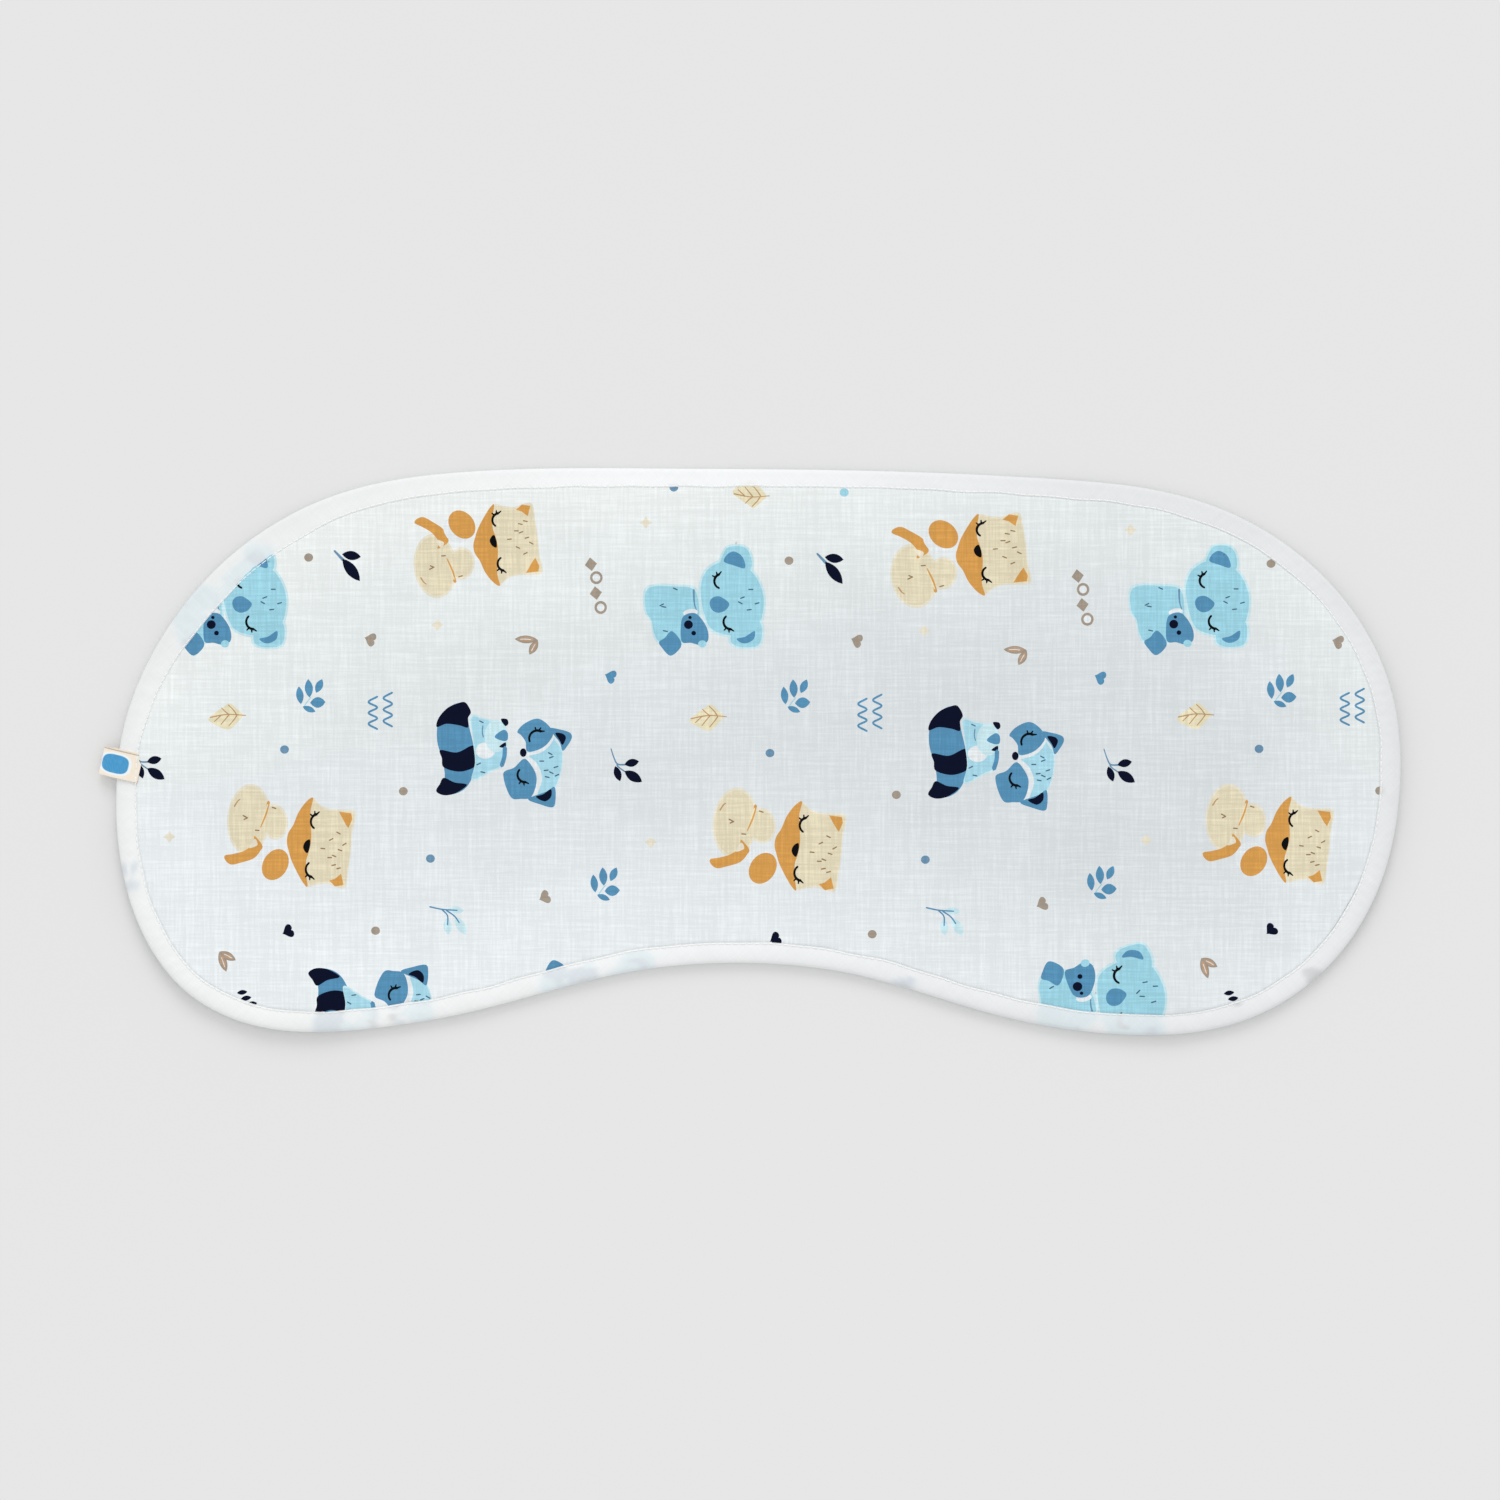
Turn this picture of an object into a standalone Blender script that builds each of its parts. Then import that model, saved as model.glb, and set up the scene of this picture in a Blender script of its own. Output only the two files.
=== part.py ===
"""Contoured burp cloth: four plies of muslin in one folded binding, with a ribbon label tab.

The cloth lies face up on the ground plane. +X runs along its length, +Y towards its bulging
long side and +Z up. The origin is under the middle of the box round cloth and label.
All dimensions are in millimetres and are turned into metres where the meshes are made.
"""
import math

import bmesh
import bpy
import numpy as np

MM = 0.001

# Clearance kept between pieces that touch on the real cloth.
GAP = 0.3

# Plan of the cloth: knots of its outer edge, clockwise from the middle of the bulging side.
# The two lobes differ, as the edge was cut and bound by hand.
EDGE_KNOTS = (
    (-30, 110), (50, 109), (115, 106), (170, 98), (205, 81), (231, 55.5), (246.5, 24),
    (250, -14), (243, -50), (222.5, -83.5), (188, -105.5), (145, -110.5), (90, -102),
    (40, -87.5), (-8, -82.5), (-55, -87), (-105, -100), (-155, -108.5), (-195, -107),
    (-222, -94), (-241.5, -66), (-249.5, -28), (-246.5, 10.5), (-231, 46), (-203.5, 77.5),
    (-165, 99.5), (-110, 109),
)
EDGE_POINTS = 120
SPAN_STEPS = 40

# Section through the edge.
FACE_PLY = 0.35
CORE_PLY = 0.45
BINDING_LEG = 0.9
BINDING_WIDTH = 8.6
BINDING_WALL = 1.1
NOSE_DEPTH = 2.0
NOSE_STEPS = 4
PLY_EDGE_INSET = BINDING_WALL + GAP
LIFT_INSET = 9.8
FLAT_INSET = 18.0

PLIES = (
    ("back_panel", FACE_PLY),
    ("core_ply_lower", CORE_PLY),
    ("core_ply_upper", CORE_PLY),
    ("front_panel", FACE_PLY),
)
PACK_HEIGHT = sum(thickness for _, thickness in PLIES) + GAP * (len(PLIES) - 1)
RISE = BINDING_LEG + GAP
TOTAL_HEIGHT = PACK_HEIGHT + 2 * RISE

# Seam: one thread above and one below, each in the furrow that it pulls into the binding.
SEAM_INSET = 7.6
THREAD_RADIUS = 0.15
THREAD_DEPTH = 0.02
FURROW_HALF_WIDTH = THREAD_RADIUS + GAP
FURROW_DEPTH = THREAD_DEPTH + 2 * THREAD_RADIUS + GAP

# Label: a ribbon folded double that lies outwards over the binding and past the left edge.
LABEL_THICKNESS = 0.25
LABEL_WIDTH = 10.7
LABEL_PROUD = 6.6
LABEL_LEG = 8.3
LABEL_TILT = math.radians(13)
LABEL_EDGE_POINT = (-248.9, -5.6)
LABEL_FOLD_RADIUS = (GAP + LABEL_THICKNESS) / 2
LABEL_FOLD_STEPS = 6
LABEL_CLEAR_OF_EDGE = 0.5
LABEL_DROOP = 1.2

PRINTED_MUSLIN = (0.80, 0.85, 0.88, 1)
PLAIN_MUSLIN = (0.84, 0.86, 0.87, 1)
BIAS_COTTON = (0.90, 0.91, 0.91, 1)
SEWING_THREAD = (0.93, 0.93, 0.92, 1)
LABEL_RIBBON = (0.90, 0.80, 0.68, 1)


def clear_scene():
    for thing in list(bpy.data.objects):
        bpy.data.objects.remove(thing, do_unlink=True)


def new_collection(name):
    group = bpy.data.collections.new(name)
    bpy.context.scene.collection.children.link(group)
    return group


def fabric(name, colour, roughness):
    material = bpy.data.materials.new(name)
    material.use_nodes = True
    shader = material.node_tree.nodes["Principled BSDF"]
    shader.inputs["Base Color"].default_value = colour
    shader.inputs["Roughness"].default_value = roughness
    shader.inputs["Metallic"].default_value = 0.0
    return material


def smooth_closed_curve(knots, steps):
    """Periodic cubic spline through the knots, with its parameter in chord lengths."""
    knots = np.array(knots, dtype=float)
    count = len(knots)
    after = np.roll(knots, -1, axis=0)
    chord = np.hypot(*(after - knots).T)
    system = np.zeros((count, count))
    bend = np.zeros((count, 2))
    for i in range(count):
        before = i - 1
        ahead = (i + 1) % count
        system[i, before] = chord[before]
        system[i, i] = 2 * (chord[before] + chord[i])
        system[i, ahead] = chord[i]
        bend[i] = 6 * ((after[i] - knots[i]) / chord[i] - (knots[i] - knots[before]) / chord[before])
    second = np.linalg.solve(system, bend)
    points = []
    for i in range(count):
        ahead = (i + 1) % count
        for t in np.arange(steps) / steps:
            s = 1 - t
            straight = s * knots[i] + t * knots[ahead]
            curved = (s ** 3 - s) * second[i] + (t ** 3 - t) * second[ahead]
            points.append(straight + chord[i] ** 2 / 6 * curved)
    return np.array(points)


def evenly_spaced(points, count):
    """The closed polyline read again at equal distances along it."""
    closed = np.vstack((points, points[:1]))
    travelled = np.concatenate(([0.0], np.cumsum(np.hypot(*np.diff(closed, axis=0).T))))
    wanted = np.linspace(0.0, travelled[-1], count, endpoint=False)
    return np.column_stack([np.interp(wanted, travelled, closed[:, axis]) for axis in (0, 1)])


def inset(ring, distance):
    """The clockwise ring moved inwards, each point along its own normal."""
    along = np.roll(ring, -1, axis=0) - np.roll(ring, 1, axis=0)
    inward = np.column_stack((along[:, 1], -along[:, 0]))
    inward /= np.hypot(*inward.T)[:, None]
    return ring + inward * distance


def label_place(s, across):
    """Plan point at s outwards from the edge along the label and at a place across it."""
    out = (-math.cos(LABEL_TILT), math.sin(LABEL_TILT))
    side = (math.sin(LABEL_TILT), math.cos(LABEL_TILT))
    return (
        LABEL_EDGE_POINT[0] + out[0] * s + side[0] * across,
        LABEL_EDGE_POINT[1] + out[1] * s + side[1] * across,
    )


def plan():
    """The edge ring and the shift that puts the box round cloth and label on the origin."""
    ring = evenly_spaced(smooth_closed_curve(EDGE_KNOTS, SPAN_STEPS), EDGE_POINTS)
    corners = [label_place(LABEL_PROUD, side * LABEL_WIDTH / 2) for side in (-1, 1)]
    everything = np.vstack((ring, corners))
    shift = -(everything.min(axis=0) + everything.max(axis=0)) / 2
    return ring + shift, shift


def loft(name, edge, section, closed):
    """Rings at each (inset, height) of the section, joined by faces and capped if it is open."""
    mesh = bpy.data.meshes.new(name)
    shape = bmesh.new()
    rings = []
    for distance, height in section:
        ring = inset(edge, distance)
        rings.append([shape.verts.new((x * MM, y * MM, height * MM)) for x, y in ring])
    pairs = list(zip(rings, rings[1:]))
    if closed:
        pairs.append((rings[-1], rings[0]))
    else:
        shape.faces.new(rings[0])
        shape.faces.new(rings[-1])
    for low, high in pairs:
        for i in range(len(low)):
            shape.faces.new((low[i - 1], low[i], high[i], high[i - 1]))
    bmesh.ops.recalc_face_normals(shape, faces=shape.faces)
    shape.to_mesh(mesh)
    shape.free()
    return bpy.data.objects.new(name, mesh)


def finish(thing, group, material):
    thing.data.materials.clear()
    thing.data.materials.append(material)
    group.objects.link(thing)
    return thing


def make_ply(name, edge, floor, thickness):
    """A sheet that lies flat in the middle and climbs at its border into the binding."""
    top = floor + thickness
    section = [
        (FLAT_INSET, floor),
        (LIFT_INSET, floor + RISE),
        (PLY_EDGE_INSET, floor + RISE),
        (PLY_EDGE_INSET, top + RISE),
        (LIFT_INSET, top + RISE),
        (FLAT_INSET, top),
    ]
    return loft(name, edge, section, closed=False)


def binding_section():
    """Half of the folded strip's section in (inset, height over mid-height), then its mirror."""
    half = TOTAL_HEIGHT / 2
    upper = []
    for step in range(NOSE_STEPS + 1):
        angle = math.pi / 2 * step / NOSE_STEPS
        upper.append((NOSE_DEPTH * (1 - math.cos(angle)), half * math.sin(angle)))
    upper += [
        (SEAM_INSET - FURROW_HALF_WIDTH, half),
        (SEAM_INSET - FURROW_HALF_WIDTH, half - FURROW_DEPTH),
        (SEAM_INSET + FURROW_HALF_WIDTH, half - FURROW_DEPTH),
        (SEAM_INSET + FURROW_HALF_WIDTH, half),
        (BINDING_WIDTH, half),
        (BINDING_WIDTH, half - BINDING_LEG),
        (BINDING_WALL, half - BINDING_LEG),
    ]
    lower = [(distance, -height) for distance, height in reversed(upper[1:])]
    return [(distance, height + half) for distance, height in upper + lower]


def make_thread(name, edge, height):
    """A sewing thread along the whole seam, as one closed round wire."""
    curve = bpy.data.curves.new(name, "CURVE")
    curve.dimensions = "3D"
    curve.bevel_depth = THREAD_RADIUS * MM
    curve.bevel_resolution = 1
    line = curve.splines.new("POLY")
    ring = inset(edge, SEAM_INSET)
    line.points.add(len(ring) - 1)
    for point, (x, y) in zip(line.points, ring):
        point.co = (x * MM, y * MM, height * MM, 1)
    line.use_cyclic_u = True
    return bpy.data.objects.new(name, curve)


def label_path():
    """Middle line of the ribbon as (s, height): lower layer out, round the fold, upper layer back."""
    lower = TOTAL_HEIGHT + GAP + LABEL_THICKNESS / 2
    upper = lower + 2 * LABEL_FOLD_RADIUS
    fold_start = LABEL_PROUD - LABEL_FOLD_RADIUS - LABEL_THICKNESS / 2
    path = [(-LABEL_LEG, lower), (LABEL_CLEAR_OF_EDGE, lower)]
    for step in range(LABEL_FOLD_STEPS + 1):
        angle = math.pi * (step / LABEL_FOLD_STEPS - 0.5)
        path.append((
            fold_start + LABEL_FOLD_RADIUS * math.cos(angle),
            (lower + upper) / 2 - LABEL_DROOP + LABEL_FOLD_RADIUS * math.sin(angle),
        ))
    return path + [(LABEL_CLEAR_OF_EDGE, upper), (-LABEL_LEG, upper)]


def make_label(shift):
    """The ribbon as an open strip given its thickness."""
    mesh = bpy.data.meshes.new("label_tab")
    shape = bmesh.new()
    rows = []
    for s, height in label_path():
        row = []
        for side in (-1, 1):
            x, y = label_place(s, side * LABEL_WIDTH / 2)
            row.append(shape.verts.new(((x + shift[0]) * MM, (y + shift[1]) * MM, height * MM)))
        rows.append(row)
    for near, far in zip(rows, rows[1:]):
        shape.faces.new((near[0], near[1], far[1], far[0]))
    shape.to_mesh(mesh)
    shape.free()
    label = bpy.data.objects.new("label_tab", mesh)
    body = label.modifiers.new("ribbon thickness", "SOLIDIFY")
    body.thickness = LABEL_THICKNESS * MM
    body.offset = 0.0
    body.use_even_offset = True
    return label


def build():
    clear_scene()
    parts = new_collection("contoured_burp_cloth")
    edge, shift = plan()

    printed = fabric("printed_muslin", PRINTED_MUSLIN, 0.85)
    plain = fabric("plain_muslin", PLAIN_MUSLIN, 0.9)
    floor = 0.0
    for name, thickness in PLIES:
        material = printed if name == "front_panel" else plain
        finish(make_ply(name, edge, floor, thickness), parts, material)
        floor += thickness + GAP

    binding = loft("edge_binding", edge, binding_section(), closed=True)
    finish(binding, parts, fabric("bias_cotton", BIAS_COTTON, 0.8))
    finish(make_label(shift), parts, fabric("label_ribbon", LABEL_RIBBON, 0.6))
    sewing_thread = fabric("sewing_thread", SEWING_THREAD, 0.5)
    thread_axis = THREAD_DEPTH + THREAD_RADIUS
    finish(make_thread("needle_thread", edge, TOTAL_HEIGHT - thread_axis), parts, sewing_thread)
    finish(make_thread("bobbin_thread", edge, thread_axis), parts, sewing_thread)


build()
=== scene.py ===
import math

import bpy
import numpy as np
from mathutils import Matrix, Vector, geometry
from mathutils.bvhtree import BVHTree
from mathutils.kdtree import KDTree


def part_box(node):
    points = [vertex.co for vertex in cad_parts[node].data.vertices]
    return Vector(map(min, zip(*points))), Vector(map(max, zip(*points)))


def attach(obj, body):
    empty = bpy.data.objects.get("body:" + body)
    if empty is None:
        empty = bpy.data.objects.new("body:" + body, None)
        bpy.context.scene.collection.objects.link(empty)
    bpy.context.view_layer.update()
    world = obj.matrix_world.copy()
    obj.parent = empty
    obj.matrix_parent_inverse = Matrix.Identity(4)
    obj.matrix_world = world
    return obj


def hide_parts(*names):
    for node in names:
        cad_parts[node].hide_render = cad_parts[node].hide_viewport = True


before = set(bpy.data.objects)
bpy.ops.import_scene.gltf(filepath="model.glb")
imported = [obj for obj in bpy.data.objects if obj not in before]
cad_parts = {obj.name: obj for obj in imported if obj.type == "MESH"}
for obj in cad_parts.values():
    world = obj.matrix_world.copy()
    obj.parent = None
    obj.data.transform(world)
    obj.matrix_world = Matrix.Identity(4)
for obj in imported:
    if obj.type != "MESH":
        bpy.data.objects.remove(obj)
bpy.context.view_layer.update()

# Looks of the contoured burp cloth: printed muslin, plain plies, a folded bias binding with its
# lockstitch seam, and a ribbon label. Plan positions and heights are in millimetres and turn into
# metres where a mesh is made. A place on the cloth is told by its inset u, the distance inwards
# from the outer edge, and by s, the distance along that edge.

MM = 0.001

# Heights over the floor and over the cloth's own middle surface.
MIDDLE = 1.96
FLOOR_CLEARANCE = 0.05
PANEL_THICKNESS = 0.3
CORE_THICKNESS = 0.4
FRONT_AT_SEAM = 0.87
FRONT_BY_SEAM = 1.5
FRONT_INSIDE = 1.0
BACK_INSIDE = -(MIDDLE - FLOOR_CLEARANCE - PANEL_THICKNESS / 2)
RAW_EDGE_INSET = 1.9

# Binding: middle line of the strip in (u, height), upper half, from the raw edge of the turned-in
# hem round the lip at the seam and out to the nose at the cloth's edge.
STRIP_THICKNESS = 0.24
STRIP_HEM = ((1.7, 1.22), (4.8, 1.36), (7.6, 1.19))
STRIP_LIP = ((7.94, 1.22), (8.05, 1.36), (7.97, 1.50))
STRIP_FACE = (
    (7.83, 1.53), (7.6, 1.52), (7.35, 1.54), (6.6, 1.64), (5.4, 1.72), (4.1, 1.76), (2.7, 1.76),
    (1.5, 1.68), (0.7, 1.40), (0.27, 0.85),
)
STRIP_NOSE = (0.12, 0.0)
FACE_START = len(STRIP_HEM) + len(STRIP_LIP)
SHOW_THROUGH = 0.2
SHOW_BLUR_PASSES = 2

# Painted light on the binding: how much lighter it is painted along the cloth's lower side, and round
# the middle of each side.
PAINTED_LIGHT_LOWER = 0.035
PAINTED_LIGHT_MIDDLE_ABOVE = 0.15
PAINTED_LIGHT_MIDDLE_BELOW = 0.05

# Seam.
SEAM_INSET = 7.6
STITCH_LENGTH = 2.62
SAMPLES_PER_STITCH = 3
HOLE_DIP = 0.14
HOLE_SIDE_DIP = 0.04
THREAD_RADIUS = 0.22
THREAD_LIFT = 0.14
THREAD_PINCH = 0.75
THREAD_SIDES = 6
THREAD_CLEARANCE = 0.02
STITCH_ARCH = ((0.0, -0.40), (0.13, -0.04), (0.5, 0.03), (0.87, -0.04))

# Label ribbon: the lower layer runs out, the upper layer runs back. Heights over the middle.
LABEL_THICKNESS = 0.25
LABEL_WIDTH = 10.7
LABEL_PROUD = 6.6
LABEL_LEG = 8.3
LABEL_TILT = math.radians(13)
LABEL_LOWER = (
    (-8.8, 1.80), (-7.6, 1.82), (-6.0, 1.98), (-4.0, 2.08), (-2.0, 2.06), (0.5, 1.62), (3.5, 0.80),
)
LABEL_FOLD = ((6.1, 0.05), (6.5, 0.10), (6.6, 0.28), (6.45, 0.46))
LABEL_UPPER = (
    (3.5, 1.24), (0.5, 2.06), (-2.0, 2.42), (-4.0, 2.44), (-6.0, 2.30), (-7.6, 2.12), (-8.8, 2.10),
)
LABEL_CAUGHT = 4.0
LABEL_GAP = 0.06
LABEL_CUP = 0.10
LABEL_STEP = 0.2
LABEL_SKEW = 0.85
LABEL_SHIFT = 0.35
MARK_CENTRE = 1.1
MARK_LENGTH = 10.6
MARK_WIDTH = 7.2
MARK_HALO = 0.7
# Width of a painted shade line along the upper layer's edge, standing for the shade in the gap between
# the two layers.
GAP_SHADE_WIDTH = 0.45

# Meshes of the plies: rings along the seam and a hexagonal grid inside them.
FRONT_PITCH = 2.3
FRONT_SPACING = 1.9
FRONT_RINGS = (RAW_EDGE_INSET, 4.5, 7.3, 8.0, 8.22, 8.45, 9.2, 10.2, 11.6, 13.4, 15.6)
BACK_PITCH = 3.0
CORE_PITCH = 6.0
PLY_RINGS = (RAW_EDGE_INSET, 7.0, 8.8, 11.0, 14.0)


def srgb(red, green, blue):
    """A linear colour from the 0 to 255 values of a colour chart."""
    linear = []
    for value in (red, green, blue):
        share = value / 255
        linear.append(share / 12.92 if share <= 0.04045 else ((share + 0.055) / 1.055) ** 2.4)
    return tuple(linear)


# Muslin tones: the middle's tone, painted in shade, and the lit tones that painted light brings it to,
# above and below.
BARE = srgb(219, 224, 227)
BARE_PAINTED_LIT = srgb(243, 248, 246)
BARE_PAINTED_LIT_LOW = srgb(241, 246, 249)
# The binding's tone, and the lit tone that painted light brings it to at the left end.
BINDING = srgb(230, 232, 233)
BINDING_PAINTED_LIT = srgb(238, 240, 240)
INKS = {
    "sky": srgb(158, 212, 228),
    "pale_sky": srgb(168, 216, 232),
    "ice": srgb(200, 230, 237),
    "blue": srgb(86, 144, 181),
    "dusk": srgb(107, 145, 174),
    "navy": srgb(5, 11, 38),
    "cream": srgb(226, 216, 187),
    "pale_cream": srgb(230, 224, 204),
    "straw": srgb(231, 223, 190),
    "ochre": srgb(213, 156, 81),
    "amber": srgb(188, 150, 108),
    "umber": srgb(150, 122, 88),
    "tan": srgb(186, 154, 126),
    "taupe": srgb(162, 150, 136),
    "slate": srgb(70, 104, 130),
    "white": srgb(229, 234, 237),
    "black": srgb(5, 7, 12),
}


# ---- the outer edge

def smooth_step(value, start, end):
    t = np.clip((value - start) / (end - start), 0.0, 1.0)
    return t * t * (3 - 2 * t)


def bell(value, middle, reach):
    return np.exp(-((value - middle) / reach) ** 2)


def distance_along(path):
    return np.concatenate(([0.0], np.cumsum(np.hypot(*np.diff(path, axis=0).T))))


def points_along(path, travelled, wanted):
    """Points of a path at the wanted distances along it."""
    return np.column_stack([np.interp(wanted, travelled, path[:, axis]) for axis in (0, 1)])


def inward_normals(ring):
    """Unit normals of a closed line of plan points that runs counterclockwise."""
    along = np.roll(ring, -1, axis=0) - np.roll(ring, 1, axis=0)
    inward = np.column_stack((-along[:, 1], along[:, 0]))
    return inward / np.hypot(*inward.T)[:, None]


class Edge:
    """The cloth's outer edge as a smooth closed curve, counterclockwise, read from the frame."""

    DENSE = 4800

    def __init__(self):
        low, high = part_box("edge_binding")
        middle = (low.z + high.z) / 2
        ring = {
            (round(v.co.x / MM, 3), round(v.co.y / MM, 3))
            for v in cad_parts["edge_binding"].data.vertices
            if abs(v.co.z - middle) < 0.01 * MM
        }
        ring = sorted(ring, key=lambda point: math.atan2(point[1], point[0]))
        spectrum = np.fft.fft([complex(x, y) for x, y in ring])
        kept = len(ring) // 2
        wide = np.zeros(self.DENSE, dtype=complex)
        wide[:kept] = spectrum[:kept]
        wide[-kept:] = spectrum[-kept:]
        dense = np.fft.ifft(wide) * self.DENSE / len(ring)
        dense = np.column_stack((dense.real, dense.imag))
        self.path = np.vstack((dense, dense[:1]))
        self.travelled = distance_along(self.path)
        self.length = self.travelled[-1]
        self.points, self.inward = self.ring(self.DENSE)
        self.tree = KDTree(self.DENSE)
        for i, (x, y) in enumerate(self.points):
            self.tree.insert((x, y, 0), i)
        self.tree.balance()

    def at(self, s):
        return points_along(self.path, self.travelled, s)

    def ring(self, count):
        """Equally spaced points of the edge and their inward normals."""
        points = self.at(np.linspace(0.0, self.length, count, endpoint=False))
        return points, inward_normals(points)

    def inset(self, count, distance):
        points, inward = self.ring(count)
        return points + inward * np.reshape(distance, (-1, 1))

    def locate(self, places):
        """Inset u and distance along the edge s of each plan point."""
        nearest = np.array([self.tree.find((x, y, 0))[1] for x, y in places])
        u = np.einsum("ij,ij->i", places - self.points[nearest], self.inward[nearest])
        return u, nearest * self.length / self.DENSE


edge = Edge()
STITCHES = round((edge.length - 2 * math.pi * SEAM_INSET) / STITCH_LENGTH)


# ---- how the cloth lies

def sum_of_sines(angles, height):
    return height * math.sqrt(2 / angles.shape[-1]) * np.sin(angles).sum(axis=-1)


def plane_waves(seed, count, shortest, longest, height):
    """A fixed random sum of plane waves over the plan, as a function of places."""
    random = np.random.default_rng(seed)
    lengths = random.uniform(shortest, longest, count)
    angles = random.uniform(0, 2 * math.pi, count)
    phases = random.uniform(0, 2 * math.pi, count)
    directions = np.column_stack((np.cos(angles), np.sin(angles))) * (2 * math.pi / lengths)[:, None]

    return lambda places: sum_of_sines(places @ directions.T + phases, height)


def edge_waves(seed, count, shortest, longest, height):
    """A fixed random sum of waves along the closed edge, as a function of s."""
    random = np.random.default_rng(seed)
    turns = random.integers(round(edge.length / longest), round(edge.length / shortest), count)
    phases = random.uniform(0, 2 * math.pi, count)

    def wave(s):
        angles = np.multiply.outer(np.asarray(s) * 2 * math.pi / edge.length, turns) + phases
        return sum_of_sines(angles, height)

    return wave


crinkle = plane_waves(seed=11, count=22, shortest=13, longest=40, height=0.10)
pucker = edge_waves(seed=12, count=9, shortest=7, longest=15, height=0.12)
strip_wrinkle = edge_waves(seed=13, count=14, shortest=4, longest=11, height=0.05)
lip_wander = edge_waves(seed=14, count=6, shortest=18, longest=60, height=0.4)
LIP_WANDER = 0.3
SIDE_PHASE = 400
NARROWER = 1.2
NARROWEST_X = 40.0
NARROW_REACH = 110.0
WIDER = 2.8
WIDEST_X = -205.0
WIDE_REACH = 45.0


def lip_drift(s, side):
    """How far the binding's inner edge strays inwards.

    The binding is narrower along the upper side and wider at the upper left corner."""
    s = np.asarray(s) % edge.length
    x, y = edge.at(s).T
    narrowing = NARROWER * bell(x, NARROWEST_X, NARROW_REACH) * (y > 0)
    widening = WIDER * bell(x, WIDEST_X, WIDE_REACH) * smooth_step(y, 0, 60)
    return LIP_WANDER * lip_wander(s + SIDE_PHASE * side) + widening - narrowing


SETTLE_PITCH = 6.0
SETTLE_FRAMES = 26
SETTLE_DROP = 3.0
SETTLE_SHRINK = 0.006
SETTLE_SEAM = (6, 16)
SETTLE_STIFFNESS = 30
SETTLE_GROUND = (800, 600)
COLLISION_GAP = 0.001
LIE_SEED = 5
LIE_GRID = 4.0
LIE_BLUR = 6.5
LIE_LOWEST = 0.0
LIE_HIGHEST = 2.4


def hexagonal_grid(pitch, inner):
    """Plan points in rows that are offset by half a pitch, at least inner inside the edge."""
    low = edge.points.min(axis=0)
    high = edge.points.max(axis=0)
    places = []
    for row, y in enumerate(np.arange(low[1], high[1], pitch * math.sqrt(3) / 2)):
        shift = pitch / 2 * (row % 2)
        places += [(x, y) for x in np.arange(low[0] + shift, high[0], pitch)]
    places = np.array(places)
    return places[edge.locate(places)[0] > inner]


def triangulate(places, outline_count, shapes=()):
    """Triangles of the cloth from plan points, the first of which are its outline, and print shapes.

    Returns points, triangles and the number of the topmost shape on each triangle, 0 for none."""
    vertices = [Vector(place) for place in places]
    faces = [list(range(outline_count))]
    for shape in shapes:
        first = len(vertices)
        vertices += [Vector(point) for point in shape]
        faces.append(list(range(first, len(vertices))))
    points, _, triangles, _, _, sources = geometry.delaunay_2d_cdt(vertices, [], faces, 0, 1e-5)
    kept = [(face, max(source)) for face, source in zip(triangles, sources) if 0 in source]
    used, corners = np.unique([face for face, _ in kept], return_inverse=True)
    points = np.array([point[:] for point in points])[used]
    return points, corners.reshape(-1, 3).tolist(), np.array([shape for _, shape in kept])


def lip_share(u):
    """How much of the inner edge's straying a place at inset u follows: none at the outer edge."""
    return smooth_step(u, 1, 7.2)


def ring_in_seam(count, inset):
    """Plan points at that inset, shifted with the binding's inner edge."""
    s = np.arange(count) * edge.length / count
    return edge.inset(count, inset + lip_drift(s, 1) * lip_share(inset))


def add_object(name, data):
    added = bpy.data.objects.new(name, data)
    bpy.context.scene.collection.objects.link(added)
    return added


def new_piece(name, points, faces, thickness=0):
    """A smooth mesh object from points in millimetres, grown to both sides if it has a thickness."""
    mesh = bpy.data.meshes.new(name)
    mesh.from_pydata((np.asarray(points) * MM).tolist(), [], faces)
    mesh.polygons.foreach_set("use_smooth", [True] * len(mesh.polygons))
    mesh.update()
    piece = add_object(name, mesh)
    if thickness:
        body = piece.modifiers.new("cloth thickness", "SOLIDIFY")
        body.thickness = thickness * MM
        body.offset = 0.0
        body.use_even_offset = False
    return piece


def level_sheet(name, wide, tall):
    """One flat face at the floor's height."""
    corners = np.array(((-1, -1, 0), (1, -1, 0), (1, 1, 0), (-1, 1, 0))) * (wide / 2, tall / 2, 1)
    return new_piece(name, corners, [(0, 1, 2, 3)])


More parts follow.
